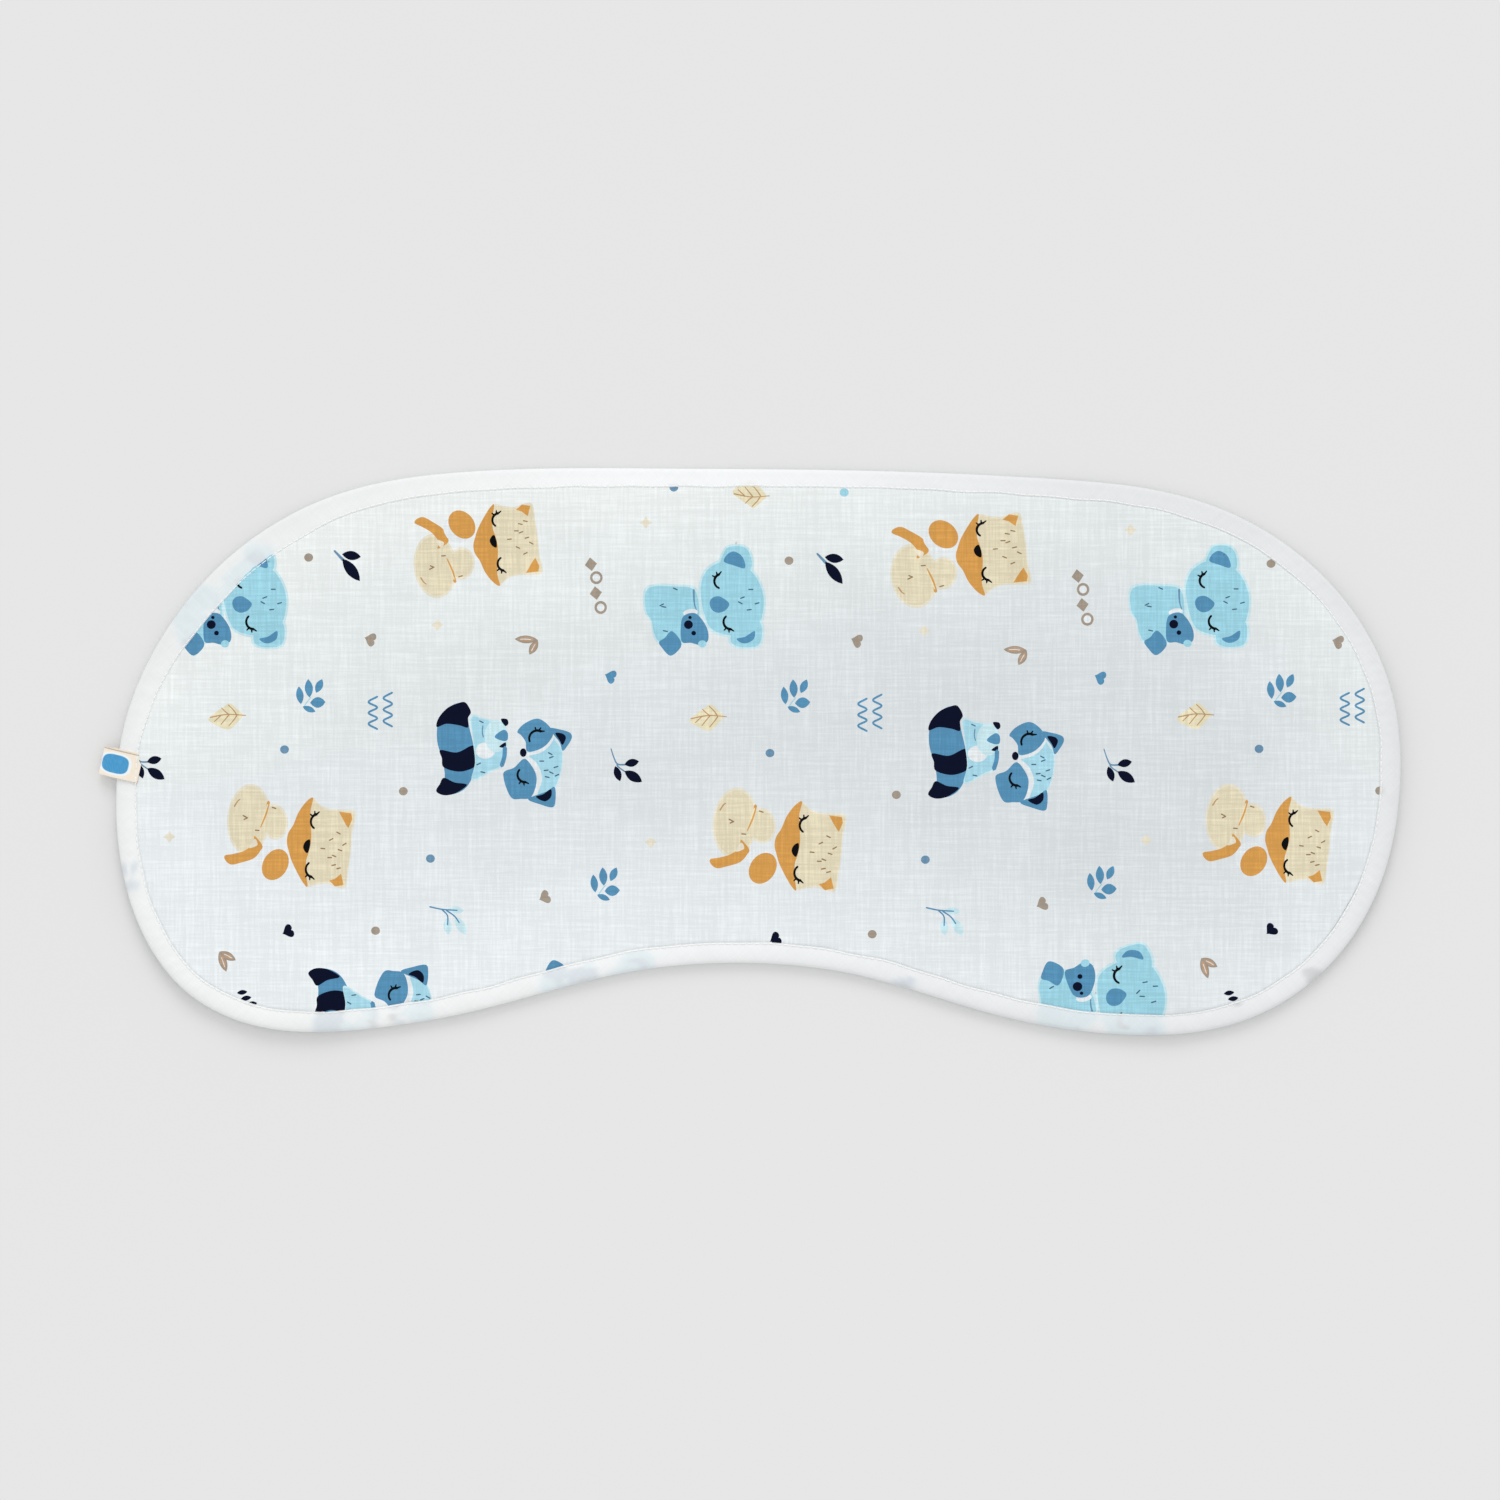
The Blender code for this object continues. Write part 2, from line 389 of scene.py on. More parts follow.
def settled_heights():
    """Drops a coarse copy of the cloth, whose seam has drawn in a little, and returns how it lies."""
    border = edge.inset(round(edge.length / SETTLE_PITCH), 1.0)
    places = np.vstack((border, hexagonal_grid(SETTLE_PITCH, SETTLE_PITCH)))
    points, faces, _ = triangulate(places, len(border))
    uneven = plane_waves(LIE_SEED, count=12, shortest=50, longest=130, height=0.8)
    start = SETTLE_DROP + uneven(points)
    cloth = new_piece("settling", np.column_stack((points, start)), faces)
    seam = cloth.vertex_groups.new(name="seam")
    for index, u in enumerate(edge.locate(points)[0]):
        seam.add([index], float(1 - smooth_step(u, *SETTLE_SEAM)), "REPLACE")
    fall = cloth.modifiers.new("fall", "CLOTH")
    fall.settings.quality = 6
    fall.settings.mass = 0.05
    fall.settings.tension_stiffness = SETTLE_STIFFNESS
    fall.settings.compression_stiffness = SETTLE_STIFFNESS
    fall.settings.bending_stiffness = 0.6
    fall.settings.vertex_group_shrink = "seam"
    fall.settings.shrink_max = SETTLE_SHRINK
    fall.collision_settings.distance_min = COLLISION_GAP
    ground = level_sheet("ground", *SETTLE_GROUND)
    ground.modifiers.new("ground", "COLLISION")
    ground.collision.thickness_outer = COLLISION_GAP
    scene = bpy.context.scene
    for number in range(1, SETTLE_FRAMES + 1):
        scene.frame_set(number)
    evaluated = cloth.evaluated_get(bpy.context.evaluated_depsgraph_get()).to_mesh()
    fallen = np.array([v.co[:] for v in evaluated.vertices]) / MM
    scene.frame_set(1)
    bpy.data.objects.remove(cloth)
    bpy.data.objects.remove(ground)
    return points, fallen[:, 2] - np.percentile(fallen[:, 2], 5)


def make_lie():
    """Height of the cloth's lie over flat, as a function of places."""
    low = edge.points.min(axis=0) - 3 * LIE_GRID
    columns, rows = np.ceil((edge.points.max(axis=0) + 3 * LIE_GRID - low) / LIE_GRID).astype(int)
    across, down = np.meshgrid(np.arange(columns), np.arange(rows), indexing="ij")
    nodes = np.column_stack((across.ravel(), down.ravel())) * LIE_GRID + low
    points, fallen = settled_heights()
    heights = np.empty(len(nodes))
    for first in range(0, len(nodes), 2000):
        part = slice(first, first + 2000)
        apart = ((nodes[part, None, :] - points[None, :, :]) ** 2).sum(axis=2)
        weight = np.exp(-apart / (2 * LIE_BLUR ** 2)) + 1e-12
        heights[part] = weight @ fallen / weight.sum(axis=1)
    heights = np.clip(heights, LIE_LOWEST, LIE_HIGHEST).reshape(columns, rows)

    def lie(places):
        cell = (places - low) / LIE_GRID
        whole = np.floor(cell).astype(int)
        t = cell - whole
        # Cubic B-spline weights of the four nodes on each axis round a place.
        weights = (
            (1 - t) ** 3 / 6,
            (3 * t ** 3 - 6 * t ** 2 + 4) / 6,
            (-3 * t ** 3 + 3 * t ** 2 + 3 * t + 1) / 6,
            t ** 3 / 6,
        )
        total = np.zeros(len(places))
        for i in range(4):
            for j in range(4):
                x = np.clip(whole[:, 0] + i - 1, 0, columns - 1)
                y = np.clip(whole[:, 1] + j - 1, 0, rows - 1)
                total += weights[i][:, 0] * weights[j][:, 1] * heights[x, y]
        return total

    return lie


lie = make_lie()


# ---- shapes of the print

def turned(points, degrees):
    angle = math.radians(degrees)
    cosine = math.cos(angle)
    sine = math.sin(angle)
    return np.asarray(points, float) @ np.array(((cosine, sine), (-sine, cosine)))


def ellipse(x, y, wide, tall, turn=0, steps=28):
    angle = np.linspace(0, 2 * math.pi, steps, endpoint=False)
    points = np.column_stack((wide / 2 * np.cos(angle), tall / 2 * np.sin(angle)))
    return turned(points, turn) + (x, y)


def through(knots, closed=False, steps=6):
    """A smooth curve through the knots."""
    knots = np.array(knots, float)
    if closed:
        padded = np.vstack((knots[-1:], knots, knots[:2]))
    else:
        padded = np.vstack((2 * knots[0] - knots[1], knots, 2 * knots[-1] - knots[-2]))
    t = (np.arange(steps) / steps)[:, None]
    runs = []
    for a, b, c, d in zip(padded, padded[1:], padded[2:], padded[3:]):
        square = (2 * a - 5 * b + 4 * c - d) * t ** 2 / 2
        cube = (3 * b - a - 3 * c + d) * t ** 3 / 2
        runs.append(b + (c - a) * t / 2 + square + cube)
    if not closed:
        runs.append(knots[-1:])
    return np.vstack(runs)


def blob(*knots):
    return through(knots, closed=True)


def stroke(knots, width, end_width=None):
    """A brush stroke through the knots, with rounded ends."""
    line = through(knots)
    along = np.gradient(line, axis=0)
    along /= np.hypot(*along.T)[:, None]
    half = np.linspace(width, width if end_width is None else end_width, len(line))[:, None] / 2
    side = np.column_stack((-along[:, 1], along[:, 0])) * half
    start = line[:1] - along[:1] * half[0]
    end = line[-1:] + along[-1:] * half[-1]
    return np.vstack((start, line + side, end, (line - side)[::-1]))


def arc(x, y, radius, start, end, width, end_width=None):
    """A brush stroke along an arc, its ends given in degrees."""
    angle = np.radians(np.linspace(start, end, 7))
    knots = np.column_stack((x + radius * np.cos(angle), y + radius * np.sin(angle)))
    return stroke(knots, width, end_width)


def leaf(x, y, long, wide, turn):
    """A pointed leaf round its own middle."""
    t = np.linspace(0, 1, 9)
    half = wide / 2 * np.sin(math.pi * t) ** 0.8
    upper = np.column_stack(((t - 0.5) * long, half))
    lower = np.column_stack(((t - 0.5) * long, -half))[-2:0:-1]
    return turned(np.vstack((upper, lower)), turn) + (x, y)


def washed(outlines, ink, rim, margin=0.9):
    """Shapes whose ink thins out to a paler rim along their common outline."""
    fills = []
    for outline in outlines:
        centre = outline.mean(axis=0)
        reach = np.hypot(*(outline - centre).T).mean()
        fills.append((centre + (outline - centre) * (1 - margin / reach), ink))
    return [(outline, rim) for outline in outlines] + fills


def tilted(parts, degrees):
    return [(turned(points, degrees), ink) for points, ink in parts]


def sized(parts, wide, tall):
    return [(np.asarray(points) * (wide, tall), ink) for points, ink in parts]


def closed_eye(x, y, turn, lash_end, reach=2.9):
    """A sleeping eye: an arc that bulges to the left, with three lashes at one end.

    They are at its upper end where lash_end is 1, and at its lower end where it is -1."""
    parts = [arc(0, 0, reach, 100, 236, 1.05, 0.8)]
    for start, away in ((100, 40), (116, 92), (136, 140)):
        root = turned((reach, 0), start)
        tip = root + turned((1.35, 0), away)
        parts.append(stroke((root, (root + tip) / 2, tip), 0.8, 0.5))
    if lash_end < 0:
        parts = [part * (1, -1) for part in parts]
    return [(turned(part, turn) + (x, y), "black") for part in parts]


def hairs(places, ink):
    """Short loose hair strokes."""
    strokes = []
    for number, (x, y) in enumerate(places):
        lean = math.radians(28 * math.sin(2.3 * number))
        step = np.array((math.cos(lean), math.sin(lean))) * 0.8
        middle = np.array((x, y))
        strokes.append((stroke((middle - step, middle, middle + step), 0.5), ink))
    return strokes


def fox(brush_turn=0):
    """A sleeping fox curled up behind its head, with a ball."""
    root = np.array((-12.5, 5))
    tail = blob(
        (-26.4, 7.6), (-26.2, 9.4), (-23.8, 11), (-19.6, 10.2), (-15, 8.8), (-12.4, 6.4),
        (-11.2, 4.2), (-13, 1.6), (-14.6, 0.4), (-15, 3.2), (-18.6, 5.8), (-23, 7),
    )
    body = [ellipse(-16.8, -6, 17.4, 26.5, 6), ellipse(-6.4, -5, 11, 13.5, -10)]
    coat = washed(body, "cream", "pale_cream")
    brush = (
        (stroke(((-8.8, -12.4), (-10, -7.6), (-12, -3)), 1.2, 0.4), "ochre"),
        (stroke(((-9.2, -11.4), (-10.6, -7.4), (-12, -4.2)), 0.5, 0.3), "straw"),
        (stroke(((-22.6, -10.8), (-21.4, -12.6), (-20.4, -13.4)), 0.6, 0.4), "amber"),
        (turned(tail - root, brush_turn) + root, "ochre"),
        (blob((-16.6, 4.6), (-14.4, 1.4), (-13.2, 3.4), (-14.6, 4.4)), "pale_cream"),
    )
    ball = (
        (ellipse(-8.2, 8.8, 9.8, 11.8, 38), "white"),
        (ellipse(-6, 11, 9.8, 12.6, 38), "ochre"),
    )
    head = washed([blob(
        (8.4, -14), (12.6, -11), (16.6, -9.8), (21, -9.6), (25.8, -9.2), (26.4, -6.4), (25.2, -1),
        (24.6, 6), (23.6, 13), (22.6, 19), (20.4, 19.9), (15, 18.2), (10.6, 18.6), (6.8, 18.6),
        (6.6, 8), (8, -4),
    )], "cream", "pale_cream", 0.7)
    face = (
        (blob(
            (9.3, -14), (6.6, -12.6), (3.4, -8.6), (1.2, -3.8), (-0.8, -0.8), (-1.4, 2.6), (-0.6, 6),
            (0.4, 9.2), (2.6, 13.6), (5.2, 17.8), (7, 19.2), (6.4, 14), (6.5, 9.4), (7.6, 6),
            (8.5, 1.6), (8.4, -4.6), (8.3, -9.4),
        ), "ochre"),
        (np.array(((19.8, -8.8), (24.8, -8.2), (25.2, -6), (23.6, -2.6), (22.4, -4.2))), "ochre"),
        (np.array(((15.8, 17), (18, 16.4), (20.6, 14.4), (21.6, 18.6), (18.2, 19.2))), "ochre"),
        (blob((5.2, 4.4), (6.1, 2.4), (7.9, 1.6), (8, 4), (7.1, 6.6), (6, 6.2)), "black"),
    )
    eyes = closed_eye(11.3, -5, 0, -1) + closed_eye(9.2, 12.8, 0, 1)
    coat_hairs = hairs((
        (16, 8.4), (17.8, 7.8), (22, 3.4), (20.2, 5.6), (13.2, 5), (16.6, 1.6), (19.6, -0.8),
        (17.6, 11.2), (19.6, 12.4), (-18.4, -7), (-18, -6.2), (-13.4, -1.8), (-6.6, -10.2),
    ), "umber")
    return [*coat, *brush, *ball, *head, *face, *eyes, *coat_hairs]


def koala():
    """A sleeping koala, its round body behind its head, with a ball and a cushion."""
    outlines = [
        blob(
            (-24.2, 3), (-21, 6), (-12, 6), (-4, 4.6), (-2, -4), (-3.5, -13), (-9, -17.2),
            (-17.5, -17.6), (-20.4, -14.2), (-21.6, -8.4), (-23.8, -4.6),
        ),
        blob((4.4, 13), (6, 19), (8.6, 21.4), (14.6, 21.2), (17.6, 17.2), (17.4, 11), (10, 9)),
        blob(
            (9, -12), (8.4, -16.6), (11, -18.8), (16, -19.2), (20.6, -18), (22, -12.4), (20.4, -7.4),
            (14, -6),
        ),
        blob(
            (-2.9, 6.5), (-0.6, 12), (5, 15.6), (12, 15.4), (18.6, 10.6), (22.2, 3), (22.4, -4),
            (20.4, -10.4), (14.5, -14.6), (7.5, -14.6), (1.2, -12), (-1.6, -6), (-2.9, 0.8),
        ),
    ]
    skin = washed(outlines, "sky", "ice")
    body = (
        (stroke(((-5, 3.8), (-4.9, 0.4), (-4.6, -2), (-3.9, -4.2)), 0.8, 0.4), "dusk"),
        (ellipse(-6.2, -5, 5.6, 2.8, 8), "white"),
        (blob(
            (-13.4, -12.2), (-10.2, -15.6), (-10, -18.6), (-13.8, -21.8), (-17.2, -18.6),
            (-18.2, -16.4), (-16, -14.8),
        ), "blue"),
        (blob(
            (-9.8, -9), (-8.4, -6), (-4.6, -5.2), (-1.6, -8), (0.4, -12), (0.4, -16), (-2.4, -17.6),
            (-6, -16.8), (-9.6, -16.2),
        ), "blue"),
        (ellipse(-1.7, -17.2, 3.2, 2.8), "sky"),
        (ellipse(-7, -9.7, 3.4, 3.4), "navy"),
        (ellipse(-5, -13, 1.8, 1.8), "navy"),
        (ellipse(-6.4, -6.9, 1.3, 1.3), "navy"),
    )
    head = (
        (blob(
            (6.6, 14.8), (7.6, 17.4), (10.2, 18.8), (13.2, 17.2), (14.6, 14.2), (14.2, 12.2),
            (10.2, 13.4),
        ), "blue"),
        (blob(
            (11.4, -15.2), (14.6, -14.4), (18.2, -12.2), (18, -15.2), (15.6, -16.8), (13.2, -16.8),
        ), "blue"),
        (blob(
            (1.1, -1.2), (2.2, 0.8), (4.8, 1.3), (7.4, -0.2), (8.6, -1.9), (7, -4.2), (4.2, -5.1),
            (1.9, -3.8),
        ), "blue"),
    )
    eyes = closed_eye(5.8, 7.2, 12, 1) + closed_eye(9.3, -8.6, 8, -1)
    coat = hairs((
        (16.8, 4), (13.6, 0.8), (12.8, -1.2), (19.2, -1.4), (16.2, -3.9), (-12, 4.2), (-17.2, -2),
        (-16.4, -2.8), (-15.8, -12.2),
    ), "slate")
    return [*skin, *body, *head, *eyes, *coat]


def raccoon(tail_turn=0):
    """A sleeping raccoon with a ringed tail and a masked face."""
    tip = np.array((-26.4, -14.6))
    tail = (
        (blob(
            (-25.8, 12.5), (-22.5, 17.6), (-17.4, 20), (-14.6, 17), (-13.9, 11.5), (-12, 3),
            (-11.4, -5), (-14.4, -12.4), (-20, -15.6), (-26.4, -14.6), (-23.4, -9.8), (-24, -3),
            (-26.2, 5),
        ), "blue"),
        (blob(
            (-26.4, 10.6), (-25.6, 14.2), (-22.2, 18), (-18.2, 19.8), (-15.6, 20.3), (-14, 18.6),
            (-13.1, 16.2), (-14.2, 14), (-14.2, 10.4), (-17.6, 11.2), (-22.6, 11.8),
        ), "navy"),
        (blob(
            (-25, 1.6), (-18.6, 0.7), (-13.2, 3.2), (-11.7, 2.8), (-11.3, -1.6), (-11.4, -4.8),
            (-17.2, -6.8), (-23.6, -5.2), (-24.4, -1.6),
        ), "navy"),
        (blob(
            (-23.6, -9.2), (-19.4, -11), (-14.6, -11.9), (-19, -15.2), (-23.6, -16), (-26.6, -14.4),
            (-25.2, -11.6),
        ), "navy"),
    )
    body = (
        *washed([blob(
            (-13.2, 15), (-8.6, 14.2), (-3, 12.8), (0.6, 11), (1, 3), (-1, -4.6), (-5, -6.8),
            (-12.6, -10.4), (-11.4, -3), (-12.4, 6),
        )], "pale_sky", "ice", 0.6),
        (ellipse(-7.4, 1.4, 7.6, 6.4), "white"),
        (ellipse(-3.2, 7, 9, 12.6), "ice"),
        (blob((-3.8, 6.8), (-0.6, 9.4), (1.2, 8.4), (1.2, 5.6), (-0.8, 5.2)), "blue"),
        (blob((-1.4, 13.6), (1, 13.6), (1.5, 11.8), (0.2, 11)), "navy"),
        (blob((-2, 2.9), (0.4, 4.6), (0.4, 2.6)), "navy"),
        (stroke(((0.2, 2.4), (0, -1), (-1, -4.4)), 1.7), "blue"),
        (stroke(((-8.4, 11), (-8.6, 8.6), (-8.2, 6.6)), 0.45), "dusk"),
    )
    head = (
        *washed([blob(
            (8.6, 0.4), (14, 3.6), (18, 8.2), (20.4, 5), (22.4, 2), (22.6, -3.2), (21.4, -9.5),
            (18.5, -14.8), (13.2, -16.6), (12.6, -9.2), (11.8, -3.2),
        )], "pale_sky", "ice", 0.5),
        (stroke(((8.8, -0.2), (14.2, 1.4), (17.6, 4.6), (19.6, 9.2)), 1.2, 1.5), "white"),
        (stroke(((8.8, -1.4), (12, -4.2), (13.7, -9.6), (11.4, -16.2)), 1.4, 2), "white"),
        (blob(
            (17.6, 9.9), (21.6, 9.6), (25.4, 8.4), (26.2, 6.4), (24.6, 3.4), (22.6, 1.3), (21.4, 4.6),
        ), "blue"),
        (blob(
            (9.2, -17.4), (14, -19.6), (18.6, -20.7), (19.8, -18.4), (19.5, -12.8), (16.2, -14.6),
        ), "blue"),
        (blob((19.8, 8.2), (22.6, 8), (23.9, 6.4), (22.6, 3.6), (21.4, 5.4)), "navy"),
        (blob((12.2, -16.6), (15, -15.6), (18, -13.6), (18.1, -16.6), (15.6, -18.4)), "navy"),
        (blob(
            (5, 8.8), (7.6, 11.8), (12.2, 13.8), (15.6, 12.6), (18.7, 9), (18.2, 6), (14.6, 2.4),
            (9, 1), (8.2, 4.8), (6.4, 7.4),
        ), "blue"),
        (blob(
            (7.6, -1.8), (10.6, -4.6), (12.4, -8.6), (12, -13.2), (10, -17), (6.4, -17.4), (3, -17.2),
            (0.8, -13.4), (-0.4, -8.6), (0.2, -6.6), (3.8, -5.2),
        ), "blue"),
        (ellipse(7.3, 0.6, 2.6, 3.3), "navy"),
    )
    eyes = closed_eye(12.8, 6, -36, 1, 3.2) + closed_eye(8, -8, 14, -1)
    coat = hairs((
        (14.5, -2.7), (18.2, -1.2), (17.8, 0.2), (20, -5), (16.2, -6.3), (18.2, -7.2), (20.4, -8.2),
        (16.6, -8.9), (-8.4, -7), (-10, -3.8), (-9, 12.6),
    ), "slate")
    turned_tail = [(turned(part - tip, tail_turn) + tip, ink) for part, ink in tail]
    return [*turned_tail, *body, *head, *eyes, *coat]


def dot(ink):
    return [(ellipse(0, 0, 3.5, 3.3, 0, 14), ink)]


def heart(ink, turn):
    t = np.linspace(0, 2 * math.pi, 26, endpoint=False)
    x = 16 * np.sin(t) ** 3
    y = 12.5 * np.cos(t) - 4 * np.cos(2 * t) - 1.5 * np.cos(3 * t) - 0.7 * np.cos(4 * t) + 2
    return [(turned(np.column_stack((x, y)) * 5.4 / 32, turn), ink)]


def star():
    t = np.linspace(0, 2 * math.pi, 16, endpoint=False)
    radius = 4.8 * np.choose(np.arange(16) % 4, (0.5, 0.34, 0.27, 0.34))
    return [(np.column_stack((radius * np.cos(t), radius * np.sin(t))), "pale_cream")]


def leaf_pair_navy():
    return [
        (stroke(((-5.2, 5.4), (-3.6, 3.7), (-1.8, 1.8)), 0.8, 1.2), "dusk"),
        (leaf(1.4, 3.6, 7.4, 3.6, -8), "navy"),
        (leaf(1.3, -2, 11, 4.2, -52), "navy"),
    ]


def leaf_pair_taupe(first, second):
    """Two leaves that meet at one end, each given by its direction and length."""
    parts = []
    for turn, long in (first, second):
        angle = math.radians(turn)
        x = math.cos(angle) * long / 2
        y = math.sin(angle) * long / 2
        parts.append((leaf(x, y, long, 3.1, turn), "taupe"))
        parts.append((leaf(x, y, long * 0.76, 1.9, turn), "tan"))
        vein = ((x * 0.6, y * 0.6), (x, y + 0.1), (x * 1.5, y * 1.5))
        parts.append((stroke(vein, 0.28), "white"))
    return parts


def sprig_blue():
    leaves = (
        (-4.1, 0.2, 7, 2.9, 97), (-0.6, 2.9, 7.2, 3.2, 94), (3.4, 3.8, 5.8, 2.9, 66),
        (2.9, -2.6, 6, 4.2, 4), (-0.5, -5.2, 5.4, 2.3, -22),
    )
    stem = (stroke(((-2.6, -4.4), (-1.4, -2.6), (0.2, -0.6)), 0.4), "sky")
    return [stem, *((leaf(*each), "blue") for each in leaves)]


def feather():
    veins = (
        ((-6.6, -0.3), (0, 0.9), (7.2, 0.5)), ((3.6, 0.8), (2.4, 2.6), (0.4, 4.6)),
        ((3.8, 0.6), (2.6, -1.2), (0.6, -3.6)), ((0.6, 0.9), (-0.8, 2), (-2.2, 3.4)),
        ((0.8, 0.9), (-0.6, -0.8), (-2.4, -3)), ((-2.4, 0.6), (-3.6, -0.6), (-5, -1.9)),
    )
    blade = blob(
        (-7.2, -1.2), (-4.6, 1.6), (-1.6, 3.6), (1, 5.2), (3.6, 3.2), (6, 0.6), (3.4, -2.8),
        (0.6, -5), (-3.4, -3.8),
    )
    return [(blade, "straw"), *((stroke(vein, 0.5, 0.35), "amber") for vein in veins)]


def sprig_navy():
    return [
        (stroke(((-6.2, 7.4), (-5, 3.8), (-3.6, 1.4), (-0.4, 1.2)), 0.45, 0.7), "dusk"),
        (stroke(((-3.8, 1.6), (-3.4, 0.4), (-0.4, -1.8)), 0.7, 0.5), "dusk"),
        (leaf(1.9, 1.9, 5.8, 3.1, 12), "navy"),
        (leaf(-3.6, -2.3, 6.2, 2.9, -72), "navy"),
        (leaf(2.5, -3.4, 8, 3.8, -32), "navy"),
    ]


def branch():
    twigs = (
        ((-5.6, 6.8), (-0.8, 5.8), (5, 5.4)), ((-1, 5.8), (1.2, 3.4), (1.3, -0.2)),
        ((0.8, 5.4), (3.9, 3.2), (5.8, 0.6)),
    )
    blades = ((4.6, 5.5, 6.4, 2.8, -4), (1.3, -0.8, 6.6, 3.2, -86), (6.4, -0.6, 8.2, 3.6, -60))
    leaves = [(leaf(*each), "ice") for each in blades]
    return leaves + [(stroke(twig, 0.6, 0.5), "blue") for twig in twigs]


def bead_row():
    """An upright row of small diamonds and rings, in place of writing."""
    parts = []
    for number, (x, y) in enumerate(((-1.9, 8.4), (0.2, 3.2), (0, -2.8), (1.9, -8.4))):
        if number % 2:
            parts += [(ellipse(x, y, 4.9, 5.1, 0, 18), "taupe"), (ellipse(x, y, 3, 3.1, 0, 14), "white")]
        else:
            parts.append((turned(((-2.4, 0), (0, -2.7), (2.4, 0), (0, 2.7)), 8) + (x, y), "taupe"))
    return parts


def ripple_pair():
    """Two upright wavy strokes, in place of writing."""
    parts = []
    for x, middle, length, step in ((-3, -0.2, 13, 2.1), (2.8, 1.6, 14.6, 2.2)):
        rows = np.arange(middle - length / 2, middle + length / 2, step)
        knots = [(x + 1.7 * (-1) ** number, y) for number, y in enumerate(rows)]
        parts.append((stroke(knots, 0.8), "blue"))
    return parts


def bead_cluster():
    """Three small navy beads, in place of writing."""
    return [(leaf(x, y, 4.2, 1.9, 8), "navy") for x, y in ((-1.6, 2.2), (0, 0), (2.2, -2.2))]


# The print repeats along the cloth. Each row: what, its place, the repeats that reach the cloth, and
# how much each repeat climbs. A negative height turns a motif upside down.
REPEAT = 189.8
REPEAT_SLANT = 0.033
MOTIFS = (
    (sized(fox(-17), 0.965, 0.95), -105.5, 77.9, (0,), 0),
    (sized(fox(-17), 1.055, 0.95), -105.4, 77.9, (1,), -3.8),
    (sized(fox(), 0.96, -1.04), 11.4, -33.9, (-1,), 0),
    (sized(fox(), 1, -1.04), 11.2, -34, (0,), 0),
    (sized(fox(), 0.96, -1), 10.8, -33.4, (1,), 0),
    (sized(koala(), 1.02, 1), -16.6, 59.1, (-1, 0), 0),
    (sized(koala(), 1.02, 1), -17.2, 59.3, (1,), 0),
    (sized(tilted(koala(), -12), 1.1, -1.04), 136.5, -100.5, (-1,), 0),
    (sized(tilted(koala(), -18), 1.1, -1.04), 136.5, -99.6, (0,), 0),
    (raccoon(), -95.1, -1.4, (0, 1), -1.3),
    (sized(tilted(raccoon(-9), 4), 1, -1), -144.9, -103.2, (0,), 0),
    (sized(tilted(raccoon(), 4), 1, -1), -149.9, -106.9, (1,), 0),
    (sized(tilted(raccoon(), 4), 1, -1), -143.5, -104, (2,), 0),
    (dot("taupe"), 15.4, 74.3, (-1, 0, 1), -1.2),
    (dot("taupe"), 57.2, -17, (-1, 0, 1), -0.8),
    (dot("taupe"), 47.8, -71.2, (-1, 0), -0.6),
    (dot("dusk"), 8, -0.6, (-1, 0, 1), 0),
    (dot("dusk"), 68.5, -42.3, (-1, 0), 0),
    (dot("dusk"), -29.4, 102.8, (0,), 0),
    (dot("sky"), 36.9, 100.8, (0,), 0),
    (leaf_pair_navy(), 31.6, 71.6, (-1, 0), -1.1),
    (leaf_pair_taupe((178, 9), (-119, 6.6)), 106.1, 39.4, (-1, 0), -4.1),
    (leaf_pair_taupe((-28, 7.2), (-71, 8.3)), 176.4, -79.6, (-2,), 0),
    (leaf_pair_taupe((-28, 7.2), (-71, 8.3)), 174.2, -81.7, (0,), 0),
    (heart("taupe", -108), 41.7, 43.2, (-1, 0, 1), -0.5),
    (heart("taupe", -66), 112, -60, (-1, 0), -2.9),
    (heart("blue", -110), -54.2, 29.2, (0, 1), -0.7),
    (heart("navy", -66), 11.7, -73, (-1,), -1.6),
    (heart("navy", -66), 10, -73, (0,), 0),
    (heart("navy", -48), 10.4, -71.2, (1,), 0),
    (sprig_blue(), 17.8, 21.6, (-1, 0, 1), 0.8),
    (sprig_blue(), -56.3, -51.7, (-1, 0, 1), 0),
    (feather(), -16.1, 13.1, (-1,), 1.3),
    (feather(), -16.1, 13.1, (0,), 0),
    (feather(), -17.4, 12.5, (1,), 0),
    (sized(feather(), 1, -1), 0.6, 100, (0,), 0),
    (sprig_navy(), -47.7, -6.4, (-1,), 1.2),
    (sprig_navy(), -47.7, -6.4, (0, 1), -0.9),
    (branch(), 74.5, -67.8, (-1, 0), 0),
    (star(), 68.1, 47, (-1, 0), -2.3),
    (star(), -40.3, 89.1, (0, 1), -2.9),
    (star(), -38.4, -35.4, (-1, 0, 1), 0),
    (bead_row(), -59.8, 64.5, (0, 1), -4.6),
    (ripple_pair(), 47, 14.6, (-1, 0, 1), 0),
    (bead_cluster(), 188.6, -97.5, (-2,), 0),
    (bead_cluster(), 187.2, -97.6, (0,), 0),
)
BOW_RISE = 1.6
BOW_REACH = 195.0


def cloth_give(x):
    """How far the print has shifted along the cloth: eased at its ends, drawn between them."""
    left_end = 4.2 * max((-150 - x) / 85, 0) ** 1.5
    left = -1.6 * math.exp(-((x + 130) / 25) ** 2)
    right = 1.8 * float(smooth_step(x, 82, 100))
    right_end = -4.5 * max((x - 165) / 85, 0) ** 1.3
    return left_end + left + right + right_end


